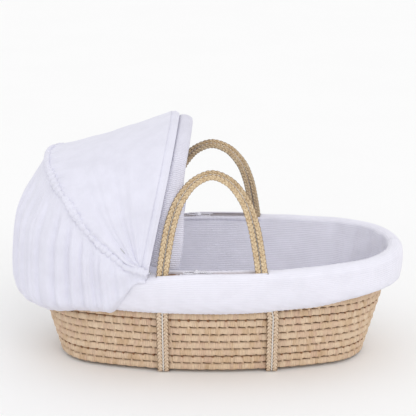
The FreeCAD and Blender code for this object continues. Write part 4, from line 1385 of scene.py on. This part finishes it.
@dataclass
class Hood:
    """The hood: two channels on their hoops, the ribbed facing, and the two panels between and behind."""

    front: Hoop = Hoop(0.209, 0.280, math.radians(12.1))
    rear: Hoop = Hoop(0.213, 0.287, math.radians(-48.2))
    facing_curl: tuple[tuple[float, float], ...] = (
        (0.0, -0.75), (0.22, -0.15), (0.62, -0.05), (1.0, -0.55), (0.88, -1.30), (0.45, -1.55))
    thickness: float = 0.0016
    front_width: float = 0.29
    rear_width: float = 0.36
    fan_share: float = 0.62
    hem_lean: float = math.radians(-112.0)

    def build(self, wardrobe: Wardrobe) -> None:
        """Builds and dresses the hood."""
        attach(self.sleeve(wardrobe.plain), "hood_front")
        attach(self.facing(wardrobe.cuff), "hood_front")
        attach(self.gathers(wardrobe.plain), "hood_rear")
        self.front_panel(wardrobe.plain)
        self.rear_panel(wardrobe.plain)

    def _fan(self, piece: bpy.types.Object) -> None:
        """Bakes a panel's transform into its mesh and works out each point's lean about the hinge, which
        nothing then uses.

        Args:
            piece: The panel.
        """
        hinge = Vector((self.front.hinge_x, 0.0, self.front.hinge_z)) + ORIGIN_SHIFT
        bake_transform(piece)
        for vert in piece.data.vertices:
            lean = math.atan2(vert.co.x - hinge.x, vert.co.z - hinge.z)
            if lean > math.pi / 2:
                lean -= math.tau

    def sleeve(self, material: bpy.types.Material) -> bpy.types.Object:
        """The front channel: a flat stitched tunnel round the wire, down to the crest of the liner."""
        hoop = self.front.grown(0.0, -0.018)
        length = hoop.length()

        def chart(u: float, v: float) -> Vector:
            """Point of the tunnel's skin."""
            angle = math.tau * v
            forward = 0.0090 * math.cos(angle)
            rise = 0.0012 + 0.0030 * math.exp(-(forward / 0.0042) ** 2)
            pucker = 0.0004 * ripple(u * length, 0.012, 5.5)
            across = math.sin(angle)
            outward = across * rise / max(0.35, abs(across)) if abs(across) > 0.05 else 0.0
            return hoop.point(u, forward, outward + pucker + hoop.flare(hoop.outline(u)[1]))

        bm = warp_grid(240, 24, chart, (length, 0.04))
        close_ends(bm)
        return put("hood_channel", bm, material, ["hood_sleeve"])

    def facing(self, material: bpy.types.Material) -> bpy.types.Object:
        """The ribbed facing that rolls forwards and inwards from the channel."""
        hoop = self.front.grown(0.0, 0.004)
        length = hoop.length()

        def chart(u: float, v: float) -> Vector:
            """Point of the facing."""
            _, height, angle = hoop.outline(u)
            far = u > 0.5
            low = 1 - ease(height, 0.02, 0.235)
            reach = 0.030 + 0.030 * low
            inward = 0.010 + 0.020 * low
            if far:
                gap = ease(height, 0.055, 0.10) * (1 - ease(height, 0.20, 0.25))
                reach = mix(reach, 0.008, gap)
                inward = mix(inward, 0.006, gap)
            curl = spline([Vector((x, 0.0, z)) for x, z in self.facing_curl], v)
            sway = 0.0014 * ripple(u * length, 0.06, 2.0) * ease(v, 0.1, 0.6)
            crown = ease(angle, 0.35, 1.15)
            out = mix(-0.0045 - 0.16 * abs(curl.x) * reach, 0.0, crown) + sway
            out += curl.z * inward * mix(0.35, 1.0, crown)
            if far:
                out -= 0.022 * ease(v, 0.0, 0.35) * (1 - ease(height, 0.03, 0.07))
            else:
                out -= 0.005 * (1 - crown)
            return hoop.point(u, 0.0085 + curl.x * reach, out)

        bm = warp_grid(260, 22, chart, (length, 0.05))
        piece = put("hood_facing", bm, material, ["hood_cuff"], 0.0018)
        return piece

    def gathers(self, material: bpy.types.Material) -> bpy.types.Object:
        """The gathered, piped seam round the rear wire."""
        hoop = self.rear.grown(0.0, -0.008)
        length = hoop.length()

        def section(share: float, around: float) -> tuple[float, float]:
            """A soft roll whose pleats change its size."""
            place = share * length
            pleat = 1 + 0.30 * ripple(place, 0.014, 1.1) + 0.18 * ripple(place, 0.0065, 6.0)
            angle = math.tau * around
            crease = 1 + 0.22 * math.sin(3 * angle + 60 * share)
            return 0.0072 * math.cos(angle) * pleat * crease, 0.0056 * math.sin(angle) * pleat

        def line(share: float) -> Vector:
            """Centre of the roll, sagging behind the wire on both sides."""
            _, height, _ = hoop.outline(share)
            return hoop.point(share, -hoop.sag(height), 0.003 + hoop.flare(height))

        bm = tube_along(line, section, lambda share: hoop.point(share, 0.0, 1.0) - hoop.point(share),
                        length, 420, 16)
        return put("hood_gathers", bm, material, ["hood_ruffle"])

    def front_panel(self, material: bpy.types.Material) -> None:
        """The panel between the hoops, with soft folds that fan out from the hinges."""
        front, rear = self.front.grown(0.002, -0.018), self.rear.grown(0.002, -0.012)
        length = front.length()

        def chart(u: float, v: float) -> Vector:
            """Point of the panel; u runs along the arch and v from front to rear."""
            _, height, angle = front.outline(u)
            start = front.point(u, -0.008, front.flare(height))
            end = rear.point(u, 0.004 - rear.sag(height), rear.flare(height))
            point = mix(start, end, v)
            side = -1.0 if u < 0.5 else 1.0
            out = Vector((0.0, side * math.cos(angle), math.sin(angle)))
            middle = math.sin(math.pi * v)
            legs = 1 - ease(abs(2 * u - 1), 0.0, 0.55)
            fold = 0.0048 * ripple(v * 0.20, 0.058, 2.7 + side) + 0.0014 * ripple(v * 0.20, 0.023, 6.4 + side)
            point += out * middle * (-0.006 * legs + fold * (1 - legs) * ease(1 - abs(2 * u - 1), 0.0, 0.15))
            point += out * 0.0016 * middle * noise.noise(point * 11)
            point += out * 0.40 * rear.sag(height) * math.exp(-((v - 0.87) / 0.11) ** 2)
            pinch = ripple(u * length, 0.031, 8.8) + 0.5 * ripple(u * length, 0.013, 3.8)
            return point + out * pinch * 0.0020 * ease(v, 0.80, 1.0)

        bm = warp_grid(260, 70, chart, (length, self.front_width))
        piece = put("hood_top_cloth", bm, material, ["hood_front_panel"], self.thickness)
        self._fan(piece)

    def rear_panel(self, material: bpy.types.Material) -> None:
        """The gathered panel that falls from the rear hoop over the head end of the skirt."""
        rear = self.rear.grown(0.002, -0.014)
        length = rear.length()
        near = PLAN.share_of(-0.134, -0.21)

        def chart(u: float, v: float) -> Vector:
            """Point of the panel; u runs along the seam from near to far and v from seam to hem."""
            _, height, _ = rear.outline(u)
            top = rear.point(u, -0.004 - rear.sag(height), rear.flare(height))
            share = mix(near, 1.0 - near, u)
            plan, out = PLAN.spot(share, 0.0)
            head = ease(-out.x, 0.1, 1.0)
            drop = ease(-plan.x, 0.134, 0.200)
            hem_z = mix(0.230, mix(0.1525, 0.124, head), drop)
            hem = PLAN.spot(share, mix(0.0815, PLAN.wall(hem_z) + 0.0175, drop))[0] + Vector((0, 0, hem_z))
            wide_z = mix(0.240, mix(0.200, 0.212, head), drop)
            wide = PLAN.spot(share, mix(0.0795, 0.085 + 0.010 * head, drop))[0] + Vector((0, 0, wide_z))
            waist = PLAN.spot(share, mix(0.0815, 0.0785 + 0.0075 * head, drop))[0] + Vector(
                (0, 0, mix(0.235, mix(0.170, 0.156, head), drop)))
            belly = mix(top, wide, 0.5) + out * (0.017 * head + 0.008 * drop)
            quarter = mix(top, wide, 0.22) + out * (0.010 * head + 0.004 * drop)
            point = spline([top, quarter, belly, wide, waist, hem], v)
            place = u * length
            spread = 0.0056 * ripple(place, 0.040, 5.1) + 0.0026 * ripple(place, 0.018, 2.6)
            gather = 0.0016 * ripple(place, 0.011, 7.0) * (1 - ease(v, 0.0, 0.18))
            body = ease(v, 0.02, 0.3) * (1 - 0.55 * ease(v, 0.86, 1.0))
            return point + out * (spread * body * (0.35 + 0.65 * drop) + gather)

        bm = warp_grid(340, 60, chart, (length, 0.30))
        piece = put("hood_drape_cloth", bm, material, ["hood_rear_panel"], self.thickness)
        self._fan(piece)


# ------------------------------------------------------------------ surroundings
@dataclass
class Studio:
    """Pale floor, soft light and the camera."""

    camera_place: Spot = (0.0097, -2.676, 1.108)
    camera_aim: Spot = (0.0007, 0.0, 0.325)
    lens: float = 110.3
    lamp_aim: Spot = (0.0, 0.0, 0.25)
    sky: float = 0.88

    def floor(self) -> None:
        """A pale floor that runs out of sight."""
        bm = bmesh.new()
        bmesh.ops.create_grid(bm, x_segments=2, y_segments=2, size=14.0)
        mesh = as_mesh("floor", bm)
        graph = Graph("floor_finish")
        haze = graph.cloud(graph.place("ShaderNodeTexCoord", "Object"), 2.0)
        tone = graph.blend(haze, (0.93, 0.93, 0.93), (0.95, 0.95, 0.95))
        mesh.materials.append(graph.finish(tone, 0.9))
        show("floor", mesh)

    @staticmethod
    def aim(item: bpy.types.Object, place: Spot, at: Spot) -> bpy.types.Object:
        """Sets an object down and points it at a spot."""
        item.location = place
        item.rotation_euler = (Vector(at) - Vector(place)).to_track_quat("-Z", "Y").to_euler()
        return item

    def lamp(self, name: str, place: Spot, spread: float, power: float) -> None:
        """A distant soft light, spread degrees across, aimed at the middle of the basket."""
        data = bpy.data.lights.new(name, "SUN")
        data.angle = math.radians(spread)
        data.energy = power
        self.aim(show(name, data), place, self.lamp_aim)

    def build(self) -> None:
        """Sets floor, light, sky and camera."""
        scene = bpy.context.scene
        self.floor()
        self.lamp("key_light", (0.9, -1.9, 2.0), 40.0, 0.62)
        self.lamp("fill_light", (-1.8, -1.5, 1.4), 80.0, 0.2)
        world = bpy.data.worlds.new("studio")
        world.use_nodes = True
        sky = world.node_tree.nodes["Background"].inputs
        sky["Color"].default_value = (1.0, 1.0, 1.0, 1.0)
        sky["Strength"].default_value = self.sky
        scene.world = world
        scene.view_settings.view_transform = "Standard"
        data = bpy.data.cameras.new("camera")
        data.lens = self.lens
        data.clip_end = 50.0
        scene.camera = self.aim(show("camera", data), self.camera_place, self.camera_aim)


def dress_frame(wardrobe: Wardrobe) -> None:
    """Gives the CAD nodes that stay in sight their finishes."""
    finishes = {"base_coils": wardrobe.base, "mattress_core": wardrobe.foam}
    for side in ("front", "back"):
        for part in ("bracket", "pin", "cap"):
            finishes[f"hinge_{part}_{side}"] = wardrobe.steel
    for hoop in ("front", "rear"):
        finishes[f"hood_{hoop}_hoop"] = wardrobe.steel
    for node, material in finishes.items():
        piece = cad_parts[node]
        for holder in piece.material_slots:
            holder.material = material


def main() -> None:
    """Builds the whole scene."""
    logging.basicConfig(level=logging.INFO, format="%(name)s %(message)s")
    wardrobe = Wardrobe.stock()
    Studio().build()
    Bows().build(wardrobe)
    Wicker().build(wardrobe)
    Straps().build(wardrobe)
    Liner().build(wardrobe)
    Mattress().build(wardrobe)
    Hood().build(wardrobe)
    dress_frame(wardrobe)


if __name__ == "__main__":
    main()
